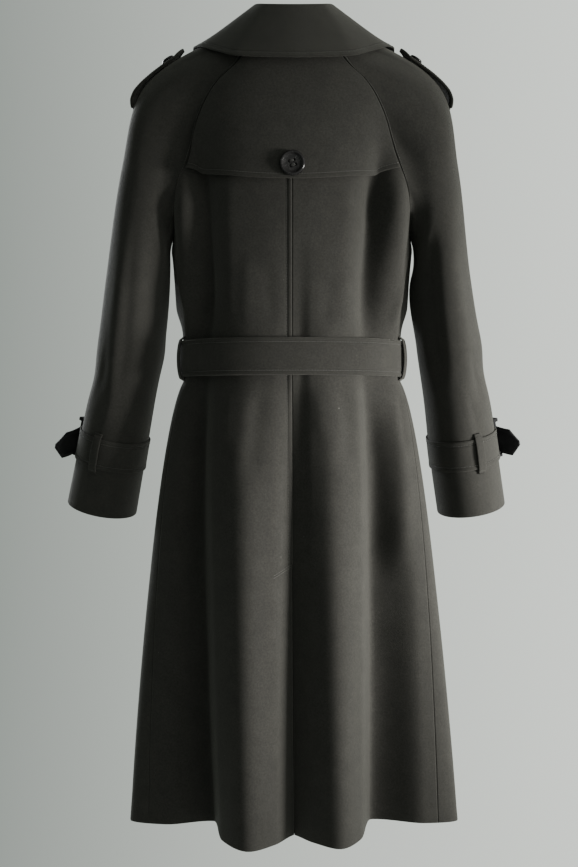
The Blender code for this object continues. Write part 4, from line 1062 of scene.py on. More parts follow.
def along_raglan(side, back, turn):
    """Share of a raglan seam at turns round the sleeve, and the seam's heights and angles there."""
    share = (turn if back else 360.0 - turn) / NECK_TURN
    return share, *raglan(side, back, np.clip(share, 0.0, 1.0))


def sleeve_top(side, turn):
    """Top edge of the sleeve at turns from the underarm, by the back, to the underarm."""
    points = neck_side(side, np.clip(turn, NECK_TURN, 360.0 - NECK_TURN))
    for back in (True, False):
        share, heights, angles = along_raglan(side, back, turn)
        points = np.where((share <= 1.0)[:, None], surface(angles, heights), points)
    return points


def sleeve_knots(side, turn):
    """Points that each lengthwise line of the sleeve runs through, from the top edge to the cuff."""
    sine = np.sin(np.radians(turn))
    cosine = np.cos(np.radians(turn))[:, None]
    knots = [sleeve_top(side, turn)]
    for left_x, right_x, outer_z, inner_x, inner_z, y, half_depth in ARM_RINGS:
        outer = np.array([left_x if side > 0 else right_x, y, outer_z])
        inner = np.array([inner_x, y, inner_z])
        ring = (outer + inner) / 2.0 - cosine * (outer - inner) / 2.0
        swell = sine * np.where(sine > 0.0, 1.0 + ARM_SQUARE * (1.0 - sine), 1.0)
        ring[:, 1] += swell * half_depth
        knots.append(ring * (side, 1.0, 1.0))
    rings = []
    for z, left_x, left_half, right_x, right_half, y, half_depth in SLEEVE_RINGS:
        x, half_width = (left_x, left_half) if side > 0 else (right_x, right_half)
        rings.append((side * x, y, z, half_width, half_depth))
    rings = np.array(rings)
    axes = unit(np.gradient(rings[:, :3], axis=0))
    for ring, axis in zip(rings, axes):
        back = np.array([0.0, 1.0, 0.0])
        back = unit(back - axis * np.dot(back, axis))
        away = np.cross(back, axis)
        away = away * np.sign(away[0]) * side
        half_width, half_depth = ring[3:]
        knots.append(ring[:3] + sine[:, None] * half_depth * back - cosine * half_width * away)
    return np.array(knots)


def level_start(side, turn, start):
    """Directions in which the sleeve's lines leave the raglan seams, laid level with the body."""
    level = start
    for back in (True, False):
        share, heights, angles = along_raglan(side, back, turn)
        out = outward(angles, heights)
        level = level - (within(share, *SEAM_LEVEL) * (start * out).sum(-1))[:, None] * out
    return level


def sleeve_points(side, turn, stations):
    """Sleeve's outer points at turns round it and stations along it, one station per knot."""
    turn = np.asarray(turn, float)
    stations = np.asarray(stations, float)
    if stations.ndim == 1:
        stations = np.repeat(stations[:, None], len(turn), axis=1)
    knots = sleeve_knots(side, turn)
    chord = np.linalg.norm(np.diff(knots, axis=0), axis=2, keepdims=True)
    rate = np.diff(knots, axis=0) / chord
    inner = (rate[1:] * chord[:-1] + rate[:-1] * chord[1:]) / (chord[1:] + chord[:-1])
    slope = np.concatenate([level_start(side, turn, rate[0])[None], inner, rate[-1:]])
    knot = np.clip(stations.astype(int), 0, len(chord) - 1)
    start = (knot, np.arange(len(turn))[None])
    end = (knot + 1, start[1])
    share = (stations - knot)[..., None]
    return bend(share, knots[start], knots[end], chord[start] * slope[start], chord[start] * slope[end])


def sleeve_half(side, back):
    """Outer points of half a sleeve, their outward directions, and the turns of its columns."""
    shoulder = np.linspace(NECK_TURN, 180.0, SHOULDER_STEPS)[1:]
    turns = np.concatenate([np.linspace(0.0, NECK_TURN, SEAM_STEPS), shoulder])
    turns = turns if back else 360.0 - turns
    chord = np.linalg.norm(np.diff(sleeve_knots(side, turns), axis=0), axis=-1)
    top = np.array(NEAR_WELT)[:, None] / chord[0]
    cuff = CUFF_STATION - np.array(NEAR_EDGE[::-1])[:, None] / chord[-1]
    share = np.linspace(0.0, 1.0, SLEEVE_STEPS + 2)[1:-1, None]
    stations = np.concatenate([top, top[-1] + (cuff[0] - top[-1]) * share, cuff])
    points = sleeve_points(side, turns, stations)
    out = grid_normals(points)
    middle = points.mean(axis=1, keepdims=True)
    out = out * np.sign(((points - middle) * out).sum(-1)[len(points) // 2:].mean())
    across = (turns + 90.0) % 360.0 - 90.0 if back else turns
    rise = np.zeros(stations.shape)
    for lap in (-360.0, 0.0, 360.0):
        rise = rise + crease_rise(SLEEVE_CREASES[side], across[None] + lap, stations, STATIONS_PER_DEGREE)
    return points + rise[..., None] * out, out, turns


# Pieces that lie on the body

def storm_flap():
    """Outer points of the flap across the upper back."""
    across = np.linspace(-1.0, 1.0, FLAP_COLUMNS)[None]
    deep = FLAP_TOP - FLAP_CENTRE_LOW
    up = (spread(NEAR_WELT, NEAR_EDGE, deep, FLAP_STEPS) / deep)[:, None]
    low = FLAP_CENTRE_LOW + (FLAP_SIDE_LOW - FLAP_CENTRE_LOW) * across ** 2
    z = low + (FLAP_TOP - low) * up
    seam = surface(raglan_angle(z, True), z, 0.0)[..., 0]
    angles = angle_at(across * (seam - FLAP_SIDE_IN), z)
    out = LAY_GAP + FLAP_STAND_OFF * (1.0 - up) ** 2 * (1.0 - FLAP_SIDE_CLOSE * across ** 2)
    return on_body(angles, z, out + CLOTH, 1.0, FLAP_CREASED)


def vent_underlap():
    """Outer points of the strip under the vent."""
    sewn = np.linspace(-VENT_SEWN, 0.0, VENT_SEWN_STEPS)
    x = np.concatenate([sewn, np.linspace(0.0, VENT_UNDER, VENT_STEPS)[1:]])[None]
    x, z = np.broadcast_arrays(x, np.linspace(HEM + VENT_UNDER_UP, VENT_TOP, VENT_ROWS)[:, None])
    angles = angle_at(x, z)
    lay = VENT_LAY + VENT_LAY_MORE * smooth((x - VENT_EASE_FROM) / VENT_EASE)
    return on_body(angles, z + hem_drop(angles, z), -CLOTH - lay)


def lapel_edges(side, up):
    """x and z of a lapel's inner and outer edge, from the break to the gorge."""
    inner_z = BREAK_HEIGHT + (ROLL_TOP[1] - LAPEL_BELOW_ROLL - BREAK_HEIGHT) * up
    outer_z = BREAK_HEIGHT + (LAPEL_TOP - BREAK_HEIGHT) * up
    inner_x = front_edge(inner_z) - LAPEL_INSET
    outer_x = front_edge(outer_z) - LAPEL_START_WIDTH - (LAPEL_WIDTH - LAPEL_START_WIDTH) * up
    if side > 0:
        inner_x = np.maximum(-inner_x, front_edge(inner_z) + LAPEL_CLEAR)
        outer_x = -outer_x
    return inner_x, inner_z, outer_x, outer_z


def lapel(side):
    """Outer points of a lapel, folded back from the roll line."""
    start = 0.0
    if side > 0:
        shares = np.linspace(0.0, 1.0, LAPEL_FINE)
        inner, _, outer, _ = lapel_edges(side, shares)
        start = shares[np.argmax(outer - inner > LAPEL_LEAST_WIDTH)]
    length = LAPEL_LENGTH * (1.0 - start)
    rows = spread(NEAR_EDGE, NEAR_WELT, length, LAPEL_STEPS) / length
    up = start + LAPEL_FROM + (1.0 - LAPEL_FROM - start) * rows
    inner_x, inner_z, outer_x, outer_z = lapel_edges(side, up)
    width = np.abs(outer_x - inner_x)[:, None]
    most = LAPEL_WELT_MOST * np.linspace(1.0, 0.0, len(NEAR_WELT))
    near = 1.0 - np.minimum(np.array(NEAR_WELT[::-1])[None] / width, most)
    inside = near[:, :1] * np.linspace(0.0, 1.0, LAPEL_COLUMNS)[None, :-1]
    share = np.concatenate([inside, near], axis=1)
    x = inner_x[:, None] + (outer_x - inner_x)[:, None] * share
    z = inner_z[:, None] + (outer_z - inner_z)[:, None] * share
    out = LAY_GAP + LAPEL_ROLL * np.sin(np.pi * share) * (1.0 - share)
    return on_body(angle_at(x, z, False), z, out + CLOTH)


# Collar

def neck_line(shares):
    """Points of the neck seam on both sides, from the right front end to the left one."""
    turns = np.linspace(NECK_TURN, 360.0 - NECK_TURN, NECK_STEPS)[1:-1]
    halves = []
    for side, picked in ((-1, shares[shares < 0.0]), (1, shares[shares >= 0.0])):
        line = np.concatenate([back_panel(side)[-1], sleeve_top(side, turns), front_panel(side)[-1]])
        run = run_along(line, 0)
        halves.append(sample(np.abs(picked) * run[-1], run, line))
    return np.concatenate(halves)


def collar_value(column, shares, other_side=1.0):
    """One column of the collar's table, from the centre back round to both fronts."""
    table = np.array(COLLAR)
    knots = np.concatenate([-table[:0:-1, 0], table[:, 0]])
    values = np.concatenate([other_side * table[:0:-1, column], table[:, column]])
    return through(knots, values, shares)


def collar_lines(shares):
    """Fold line and outer edge of the collar, and the level direction from one to the other."""
    lines = []
    for first in (1, 4):
        x = collar_value(first, shares, -1.0) + COLLAR_LEAN
        lines.append(np.stack([x, collar_value(first + 1, shares), collar_value(first + 2, shares)], -1))
    fold, edge = lines
    return fold, edge, unit((edge - fold) * (1.0, 1.0, 0.0))


def collar_stand(shares):
    """Outer points of the collar's stand, and the level direction out of it."""
    fold, _, level = collar_lines(shares)
    foot = neck_line(shares) + (0.0, 0.0, COLLAR_FOOT)
    top = fold - (0.0, 0.0, COLLAR_ROLL + SEAM_GAP) - (COLLAR_ROLL - CLOTH) * level
    return foot + (top - foot) * np.linspace(0.0, 1.0, STAND_ROWS)[:, None, None], level


def collar_fall(shares):
    """Upper points of the collar's fall, rolled over the fold line, and the direction out of it."""
    fold, edge, level = collar_lines(shares)
    bulge = collar_value(7, shares)
    centre = fold - (0.0, 0.0, COLLAR_ROLL)
    up = np.array([0.0, 0.0, 1.0])
    slope = unit(edge - fold)
    raised = unit(np.cross(np.cross(slope, up), slope))
    turn_end = np.arctan2((raised * level).sum(-1), raised[:, 2])
    upper = []
    for share in np.linspace(0.0, 1.0, ROLL_ROWS):
        turn = (-np.pi / 2.0 + (turn_end + np.pi / 2.0) * share)[:, None]
        upper.append(centre + COLLAR_ROLL * (np.sin(turn) * level + np.cos(turn) * up))
    root = centre + (COLLAR_ROLL - CLOTH) * raised
    for share in spread(NEAR_ROLL, NEAR_WELT, COLLAR_DEEP, FALL_STEPS)[1:] / COLLAR_DEEP:
        swell = bulge * np.sin(np.pi * share) + CLOTH
        upper.append(root + (edge - root) * share + swell[:, None] * raised)
    return np.array(upper), raised


# Belt and straps

def belt():
    """Outer points of the belt, which passes over its own start at the front."""
    turns = np.linspace(BELT_START, BELT_START - BELT_TURN, BELT_COLUMNS)[None]
    tall = BELT_TOP - BELT_BOTTOM
    up = spread(NEAR_WELT, NEAR_WELT, tall, BELT_STEPS)[:, None]
    over = smooth((BELT_OVER_START - turns) / BELT_OVER_EASE)
    pillow = BELT_PILLOW * (1.0 - (2.0 * up / tall - 1.0) ** 4)
    wave = BELT_WAVE * np.sin(np.radians(turns) * BELT_WAVES + BELT_WAVE_START) * (up / tall)
    out = BELT_OFF + over * (STRAP_CLOTH + BUCKLE_BAR + BELT_OVER_GAP) + pillow + wave
    angles, z, out = np.broadcast_arrays(np.radians(turns), BELT_BOTTOM + up, out)
    return on_body(angles, z, out + STRAP_CLOTH, 0.0)


def rounded(places, times=2):
    """Line of places with its corners cut back again and again."""
    places = np.array(places)
    for _ in range(times):
        near = places[:-1] * 0.75 + places[1:] * 0.25
        far = places[:-1] * 0.25 + places[1:] * 0.75
        between = np.stack([near, far], 1).reshape(-1, places.shape[1])
        places = np.concatenate([places[:1], between, places[-1:]])
    return places


def over_strap(point_at, half_height, strap_half, off, bow):
    """Outer points of a loop that goes over a strap, from foot to foot."""
    foot = LOOP_FOOT + LOOP_CLOTH
    climb = off - LOOP_FOOT
    edge = strap_half + LOOP_SIDE_GAP + LOOP_CLOTH
    rising = [(half_height, foot)]
    for share, further, risen, bowed in LOOP_PATH:
        rising.append((edge * share + further, foot + climb * risen + bow * bowed))
    falling = [(-along, out) for along, out in rising[-2::-1]]
    return np.array([point_at(along, out) for along, out in rounded([*rising, *falling])])


def belt_loop(side):
    """Outer points of a belt loop."""
    middle = (BELT_TOP + BELT_BOTTOM) / 2.0
    place = angle_at(BELT_LOOP_X, middle)
    reach = angle_at(BELT_LOOP_X - BELT_LOOP_REACH, middle)
    turns = side * np.linspace(place, reach, LOOP_COLUMNS)

    def point_at(along, out):
        return on_body(turns, np.full_like(turns, middle + along), np.full_like(turns, out), 0.0)

    off = BELT_OFF + STRAP_CLOTH + BELT_LOOP_GAP
    return over_strap(point_at, BELT_LOOP_HEIGHT / 2.0, (BELT_TOP - BELT_BOTTOM) / 2.0, off, BELT_LOOP_BOW)


def station_above_cuff(side, distance):
    """Station on the sleeve at a distance above the cuff, along the sleeve's centre line."""
    stations = np.linspace(ELBOW_STATION, CUFF_STATION, ELBOW_STEPS)
    ring = sleeve_points(side, np.arange(0.0, 360.0, RING_STEP), stations)
    run = run_along(ring.mean(axis=1), 0)
    return np.interp(run[-1] - distance, run, stations)


def on_sleeve(side, turn, above, out):
    """Points of the sleeve at turns round it, moved out, at a distance above the cuff."""
    turn = np.asarray(turn, float)
    station = station_above_cuff(side, above)
    points = sleeve_points(side, turn, [station - SLOPE_STATION, station, station + SLOPE_STATION])
    wide = sleeve_points(side, turn + SLOPE_DEGREES, [station])[0]
    narrow = sleeve_points(side, turn - SLOPE_DEGREES, [station])[0]
    return points[1] + out * side * unit(np.cross(points[2] - points[0], narrow - wide))


def cuff_strap(side):
    """Outer points of the strap round a cuff."""
    turns = np.arange(0.0, 360.0, CUFF_STEP)
    rows = []
    for up in spread(NEAR_WELT, NEAR_WELT, CUFF_STRAP_WIDTH, CUFF_STEPS):
        above = CUFF_STRAP_ABOVE - CUFF_STRAP_WIDTH / 2.0 + up
        rows.append(on_sleeve(side, turns, above, STRAP_OFF + CUFF_CLOTH))
    return np.array(rows)


def cuff_loop(side):
    """Outer points of the loop over a cuff strap."""
    turns = CUFF_LOOP_TURN + np.linspace(-1.0, 1.0, LOOP_COLUMNS) * CUFF_LOOP_HALF_TURN

    def point_at(along, out):
        return on_sleeve(side, turns, CUFF_STRAP_ABOVE + along, out)

    off = STRAP_OFF + CUFF_CLOTH + CUFF_LOOP_GAP
    return over_strap(point_at, CUFF_LOOP_HEIGHT / 2.0, CUFF_STRAP_WIDTH / 2.0, off, LOOP_BOW)


def cuff_tip(side):
    """Outer points of the stiff strap end that sticks out past the sleeve and sinks past the buckle."""
    off = STRAP_OFF + STRAP_CLOTH + TIP_GAP + TIP_THICK
    across = spread(NEAR_TIP, NEAR_TIP, CUFF_TIP_WIDTH, TIP_STEPS)[:, None] / CUFF_TIP_WIDTH
    rows = []
    for turn in np.linspace(*CUFF_TIP_TURNS, TIP_ROOT_ROWS):
        low, high = (
            on_sleeve(side, [turn], CUFF_STRAP_ABOVE + way * CUFF_TIP_WIDTH / 2.0, off)[0] for way in (-1, 1)
        )
        rows.append(low + (high - low) * across)
    ahead = unit((rows[-1] - rows[-2]).mean(axis=0))
    root = rows[-1]
    down = unit(root[0] - root[-1])
    middle = root.mean(axis=0)
    flat = CUFF_TIP_LENGTH - CUFF_TIP_POINT
    straight = [(along, 1.0) for along in np.linspace(0.0, flat, TIP_FLAT_ROWS)[1:]]
    point = np.linspace(0.0, 1.0, TIP_POINT_ROWS)[1:]
    narrowed = [(flat + CUFF_TIP_POINT * share, 1.0 - TIP_NARROW * share) for share in point]
    for along, wide in [*straight, *narrowed]:
        past = max(along - CUFF_TIP_FLAT, 0.0) / (CUFF_TIP_LENGTH - CUFF_TIP_FLAT)
        step = ahead * along + down * CUFF_TIP_DROP[side] * past * (2.0 - past)
        rows.append(middle + (root - middle) * wide + step)
    return np.array(rows)


# Epaulettes

def epaulette(side):
    """Outer points of the strap along the top of the shoulder."""
    turns = np.linspace(NECK_TURN, 360.0 - NECK_TURN, PATCH_COLUMNS)
    patch = sleeve_points(side, turns, np.linspace(0.0, PATCH_STATIONS, PATCH_ROWS))
    spine = len(turns) // 2
    run = run_along(patch[:, spine], 0)
    table, lifts, shares = columns(EPAULETTE)
    along = spread(NEAR_TAB, NEAR_EDGE, table[-1], EPAULETTE_STEPS)
    rows = np.interp(EPAULETTE_START + along, run, np.arange(len(run)))
    strip = []
    for row, share in zip(rows, np.interp(along, table, shares)):
        first = min(int(row), len(patch) - 2)
        line = patch[first] + (patch[first + 1] - patch[first]) * (row - first)
        across = run_along(line, 0)
        half = EPAULETTE_HALF_WIDTH * share
        near = np.array(NEAR_WELT) * share
        places = spread(near, near, 2.0 * half, TAB_STEPS) - half
        strip.append(sample(places, across - across[spine] + EPAULETTE_BACK, line))
    strip = np.array(strip)
    out = grid_normals(strip)
    out = out * np.sign(out[..., 2].mean())
    return strip + (through(table, lifts, along) + STRAP_CLOTH)[:, None, None] * out


# Buttons

def button_seat(name, outside):
    """Foot of a button on its CAD node, three directions, its radius and its height."""
    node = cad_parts[name]
    seat = np.array([node.matrix_world @ vertex.co for vertex in node.data.vertices])
    middle = seat.mean(axis=0)
    axis = np.linalg.svd(seat - middle)[2][2]
    up = axis * np.sign(np.dot(axis, outside))
    heights = (seat - middle) @ up
    side = unit(np.cross(BUTTON_TWIST, up))
    radius = np.linalg.norm(seat - middle - heights[:, None] * up, axis=1).max()
    return middle + heights.min() * up, side, np.cross(up, side), up, radius, np.ptp(heights)


def add_button(parts, name, outside):
    """Turned button on its CAD node: raised rim, dish, four holes and the thread through them."""
    foot, side, over, up, radius, height = button_seat(name, outside)

    def at(x, y, lift):
        return foot + radius * (x[..., None] * side + y[..., None] * over) + (height * lift)[..., None] * up

    share, lift = columns(BUTTON_PROFILE)
    turns = around(BUTTON_TURNS)
    x = share[:, None] * np.cos(turns)
    y = share[:, None] * np.sin(turns)
    lift = np.repeat(lift[:, None], BUTTON_TURNS, axis=1)
    for hole_x in (-HOLE_SIDE, HOLE_SIDE):
        for hole_y in (-HOLE_SIDE, HOLE_SIDE):
            gap = np.hypot(x - hole_x, y - hole_y)
            lift[:HOLE_ROWS] -= HOLE_DEEP * (1.0 - smooth((gap - HOLE_FLAT) / HOLE_EDGE))[:HOLE_ROWS]
    grid = at(x, y, lift)
    points = np.concatenate([grid[1:-1].reshape(-1, 3), grid[:1, 0], grid[-1:, 0]])
    here = np.arange(BUTTON_TURNS)
    ahead = np.roll(here, -1)
    last = (len(grid) - 3) * BUTTON_TURNS
    top = np.full(BUTTON_TURNS, len(points) - 2)
    caps = [np.stack([top, here, ahead], -1), np.stack([top + 1, last + ahead, last + here], -1)]
    parts.add(points, [grid_faces(len(grid) - 2, BUTTON_TURNS), *caps], MAIN_LOOK)
    places = np.linspace(-1.0, 1.0, THREAD_ROWS)
    arch = DISH + THREAD_RISE * np.sqrt(1.0 - places ** 2)
    arch[[0, -1]] -= THREAD_SINK
    for hole_y in (-HOLE_SIDE, HOLE_SIDE):
        for lay in (-THREAD_APART, THREAD_APART):
            line = at(places * THREAD_REACH, np.full_like(places, hole_y + lay), arch)
            add_thread(parts, line, over, up, THREAD_HALF * radius)


# Materials

class Nodes:
    """Node tree with short ways to add to it."""

    def __init__(self, tree):
        self.tree = tree

    def feed(self, socket, value):
        """Gives an input a number, a colour of three shares, or the output that feeds it."""
        if isinstance(value, bpy.types.NodeSocket):
            self.tree.links.new(value, socket)
        else:
            socket.default_value = (*value, 1.0) if isinstance(value, tuple) else value

    def add(self, kind, inputs=(), **settings):
        made = self.tree.nodes.new(kind)
        for key, value in settings.items():
            setattr(made, key, value)
        for key, value in dict(inputs).items():
            self.feed(made.inputs[key], value)
        return made

    def maths(self, operation, first, second=0.0):
        return self.add("ShaderNodeMath", {0: first, 1: second}, operation=operation).outputs[0]

    def total(self, *terms):
        """Sum of values, each with its weight."""
        value, weight = terms[0]
        found = self.maths("MULTIPLY", value, weight)
        for value, weight in terms[1:]:
            found = self.maths("ADD", found, self.maths("MULTIPLY", value, weight))
        return found

    def span(self, value, low, high, to_low, to_high):
        """Value carried from one span to another and held at its ends."""
        spans = {"Value": value, "From Min": low, "From Max": high, "To Min": to_low, "To Max": to_high}
        return self.add("ShaderNodeMapRange", spans).outputs["Result"]

    def blend(self, share, first, second, kind="MIX"):
        """Two colours blended."""
        made = self.add("ShaderNodeMix", data_type="RGBA", blend_type=kind)
        factor = [socket for socket in made.inputs if socket.type == "VALUE"][0]
        colours = [socket for socket in made.inputs if socket.type == "RGBA"]
        for socket, value in zip((factor, *colours), (share, first, second)):
            self.feed(socket, value)
        return [socket for socket in made.outputs if socket.type == "RGBA"][0]


class Look(Nodes):
    """Material with a pattern that lies still in the piece."""

    def __init__(self, name, colour, roughness):
        self.made = bpy.data.materials.new(name)
        self.made.use_nodes = True
        self.made.diffuse_color = (*colour, 1.0)
        super().__init__(self.made.node_tree)
        self.shader = self.tree.nodes["Principled BSDF"]
        self.set({"Base Color": colour, "Roughness": roughness})
        self.place = self.add("ShaderNodeTexCoord").outputs["Object"]

    def set(self, inputs):
        for key, value in inputs.items():
            self.feed(self.shader.inputs[key], value)

    def noise(self, scale, detail=3.0, rough=0.55, distortion=0.0):
        values = {"Scale": scale, "Detail": detail, "Roughness": rough, "Distortion": distortion}
        return self.add("ShaderNodeTexNoise", {"Vector": self.place, **values}).outputs["Fac"]

    def wave(self, value, pitch):
        return self.maths("SINE", self.maths("MULTIPLY", value, 2.0 * math.pi / pitch))

    def bump(self, height, strength, distance):
        values = {"Strength": strength, "Distance": distance, "Height": height}
        self.set({"Normal": self.add("ShaderNodeBump", values).outputs["Normal"]})


def wool(name, dark, light):
    """Milled wool: faint twill under a short nap, flecked fibres, a little lint."""
    look = Look(name, dark, 0.9)
    flat = look.add("ShaderNodeUVMap", uv_map="cloth").outputs["UV"]
    cloth = look.add("ShaderNodeSeparateXYZ", {"Vector": flat}).outputs
    across = look.maths("ADD", cloth["X"], look.maths("MULTIPLY", look.noise(160.0, detail=2.0), YARN_WANDER))
    rib = look.wave(look.maths("ADD", across, cloth["Y"]), TWILL_PITCH)
    yarn = look.wave(across, YARN_PITCH)
    nap = look.noise(1500.0, detail=4.0, rough=0.65)
    tuft = look.noise(420.0, rough=0.6)
    height = look.total((rib, 0.32), (yarn, 0.14), (nap, 1.5), (tuft, 1.1))
    look.bump(height, strength=0.42, distance=0.00035)
    pale_nap = look.span(nap, 0.36, 0.70, 0.0, 0.45)
    pale_tuft = look.span(tuft, 0.33, 0.67, 0.0, 0.45)
    fleck = look.total((pale_nap, 1.0), (pale_tuft, 1.0), (rib, 0.06))
    worn = look.span(look.noise(38.0, detail=5.0, rough=0.7), 0.3, 0.7, 0.84, 1.14)
    tint = look.add("ShaderNodeCombineColor", {0: worn, 1: worn, 2: worn}).outputs["Color"]
    shaded = look.blend(1.0, look.blend(fleck, dark, light), tint, "MULTIPLY")
    lint = look.span(look.noise(230.0, detail=1.0, rough=0.4), 0.835, 0.860, 0.0, 0.35)
    look.set({
        "Base Color": look.blend(lint, shaded, (0.20, 0.20, 0.18)),
        "Roughness": look.span(nap, 0.3, 0.7, 0.84, 0.97),
        "Sheen Weight": 0.16,
        "Sheen Roughness": 0.55,
        "Sheen Tint": (0.60, 0.59, 0.53),
        "Specular IOR Level": 0.22,
    })
    return look.made


def thread(name, colour):
    """Twisted sewing thread."""
    look = Look(name, colour, 0.6)
    grain = look.noise(2600.0, detail=2.0)
    look.bump(grain, strength=0.4, distance=0.0001)
    pale = tuple(1.6 * share for share in colour)
    look.set({
        "Base Color": look.blend(look.span(grain, 0.35, 0.7, 0.0, 1.0), colour, pale),
        "Sheen Weight": 0.1,
    })
    return look.made


def horn(name):
    """Polished horn with cloudy streaks."""
    look = Look(name, (0.010, 0.008, 0.008), 0.16)
    cloud = look.noise(120.0, detail=4.0, rough=0.6, distortion=2.4)
    streak = look.noise(330.0, rough=0.6, distortion=1.2)
    clouded = look.span(cloud, 0.50, 0.68, 0.0, 1.0)
    share = look.maths("MULTIPLY", clouded, look.span(streak, 0.42, 0.62, 0.0, 1.0))
    look.bump(streak, strength=0.10, distance=0.0002)
    look.set({
        "Base Color": look.blend(share, (0.0065, 0.0058, 0.0060), (0.034, 0.032, 0.033)),
        "Roughness": look.span(streak, 0.3, 0.7, 0.10, 0.24),
        "Specular IOR Level": 0.22,
        "Coat Weight": 0.06,
        "Coat Roughness": 0.08,
    })
    return look.made


def leather(name, dull, shine):
    """Black leather with a fine grain, a little paler in soft random patches."""
    look = Look(name, (0.011, 0.011, 0.012), dull)
    cells = {"Vector": look.place, "Scale": 780.0}
    cell = look.add("ShaderNodeTexVoronoi", cells, feature="DISTANCE_TO_EDGE").outputs["Distance"]
    grain = look.span(cell, 0.0, 0.16, 0.0, 1.0)
    rub = look.noise(60.0, detail=4.0, rough=0.6)
    height = look.total((grain, 1.0), (look.noise(1700.0), 0.5))
    look.bump(height, strength=0.45, distance=0.00022)
    share = look.span(rub, 0.45, 0.75, 0.0, 0.5)
    look.set({
        "Base Color": look.blend(share, (0.0095, 0.0095, 0.0105), (0.030, 0.030, 0.031)),
        "Roughness": look.span(rub, 0.3, 0.7, dull - 0.08, dull + 0.08),
        "Specular IOR Level": shine,
    })
    return look.made


def plaster(name, colour):
    """Plain pale floor."""
    look = Look(name, colour, 0.85)
    pale = tuple(min(1.0, 1.05 * share) for share in colour)
    look.set({"Base Color": look.blend(look.noise(5.0, detail=4.0), colour, pale)})
    return look.made


THREAD = thread("charcoal thread", (0.030, 0.029, 0.025))
COAT_WOOL = wool("charcoal wool", (0.0094, 0.0090, 0.0078), (0.0285, 0.0275, 0.0241))
STRAP_WOOL = wool("charcoal wool on the straps", (0.0094, 0.0090, 0.0078), (0.0281, 0.0271, 0.0238))
HORN = horn("dark marbled horn")
BUTTON_THREAD = thread("dark button thread", (0.014, 0.0135, 0.0125))
LEATHER = leather("black leather", 0.62, 0.20)
BUCKLE_LEATHER = leather("dull black leather", 0.80, 0.12)
LEATHER_THREAD = thread("grey thread on the leather", (0.085, 0.085, 0.080))


# Dressing the frame

def settle(made, slot, *nodes):
    """Puts a piece in place of its CAD nodes."""
    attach(made, "root")
    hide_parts(*nodes)


def dress(node, sheet, more=(), look=COAT_WOOL, slot="wool"):
    """One piece of cloth in place of its CAD nodes."""
    parts = Parts()
    add_shell(parts, sheet)
    for line, out in sheet.stitches:
        add_stitches(parts, line, out)
    made = parts.make("cloth_" + node, (look, THREAD))
    settle(made, slot, node, *more)
    width, length, area = sheet.size()


def dress_strap(node, sheet, sewn=None):
    """One strap or loop; sewn names the lines that run along its stitched edges."""
    if sewn:
        for end in ("first ", "last "):
            sheet.sew(end + sewn, STRAP_STITCH_IN, STRAP_WELT, groove=STRAP_GROOVE)
    dress(node, sheet, look=STRAP_WOOL, slot="wool_strap")


def vent_stitches(sheet):
    """Two slanting lines of stitching that hold the top of the vent."""
    share = np.linspace(0.0, 1.0, VENT_STITCH_STEPS)
    x = VENT_STITCH_START + (VENT_STITCH_ACROSS - VENT_STITCH_START) * share
    for shift in (0.0, VENT_STITCH_GAP):
        z = VENT_TOP - VENT_STITCH_DROP * share - shift
        turn = angle_at(x, z)
        sheet.stitches.append((on_body(turn, z, np.full_like(z, VENT_STITCH_OFF)), outward(turn, z)))


def dress_backs():
    for label, side in SIDES.items():
        sheet = Sheet(back_panel(side), BACKWARD, CLOTH)
        if side > 0:
            above = sheet.points[:, 0, 2] - VENT_TOP
            sheet.sew("first column", welt=WELT, keep=smooth((above + VENT_SEW_EASE / 2.0) / VENT_SEW_EASE))
            vent_stitches(sheet)
        sheet.pull_back("first column", "last column")
        skirts = ("back_skirt_" + label, "back_skirt_side_" + label)
        dress("back_" + label, sheet, skirts)


def dress_fronts():
    for label, side in SIDES.items():
        sheet = Sheet(front_panel(side), FORWARD, CLOTH)
        if side < 0:
            above = sheet.points[:, -1, 2] - BREAK_HEIGHT
            sheet.sew("last column", keep=1.0 - smooth((above + BREAK_EASE) / BREAK_EASE))
        sheet.pull_back("first column")
        skirts = ("front_skirt_" + label, "front_skirt_side_" + label)
        dress("front_" + label, sheet, skirts)


def dress_sleeves():
    for label, side in SIDES.items():
        for half in ("back", "front"):
            points, out, turns = sleeve_half(side, half == "back")
            sheet = Sheet(points, out, CLOTH)
            on_seam = np.minimum(turns, 360.0 - turns) <= NECK_TURN
            sheet.sew("first row", welt=WELT, keep=on_seam.astype(float))
            sheet.pull_back("first column", "last column", "first row")
            name = half + "_" + label
            dress("sleeve_" + name, sheet, ("shoulder_" + name,))


def dress_layers():
    """Flap, vent, collar, lapels and epaulettes."""
    flap = Sheet(storm_flap(), BACKWARD, CLOTH)
    flap.sew("first row", inset=FLAP_STITCH_IN)
    dress("storm_flap", flap)
    dress("vent_underlap", Sheet(vent_underlap(), BACKWARD, CLOTH))
    shares = np.linspace(-1.0, 1.0, COLLAR_COLUMNS)
    points, level = collar_stand(shares)
    dress("collar_stand", Sheet(points, level[None], CLOTH))
    points, raised = collar_fall(shares)
    fall = Sheet(points, raised[None], CLOTH)
    fall.sew("last row")
    dress("collar_fall", fall)
    for label, side in SIDES.items():
        sheet = Sheet(lapel(side), FORWARD, CLOTH)
        sheet.sew("last column")
        sheet.sew("last row")
        dress("lapel_" + label, sheet)
        tab = Sheet(epaulette(side), UPWARD, STRAP_CLOTH)
        dress_strap("epaulette_" + label, tab, "column")


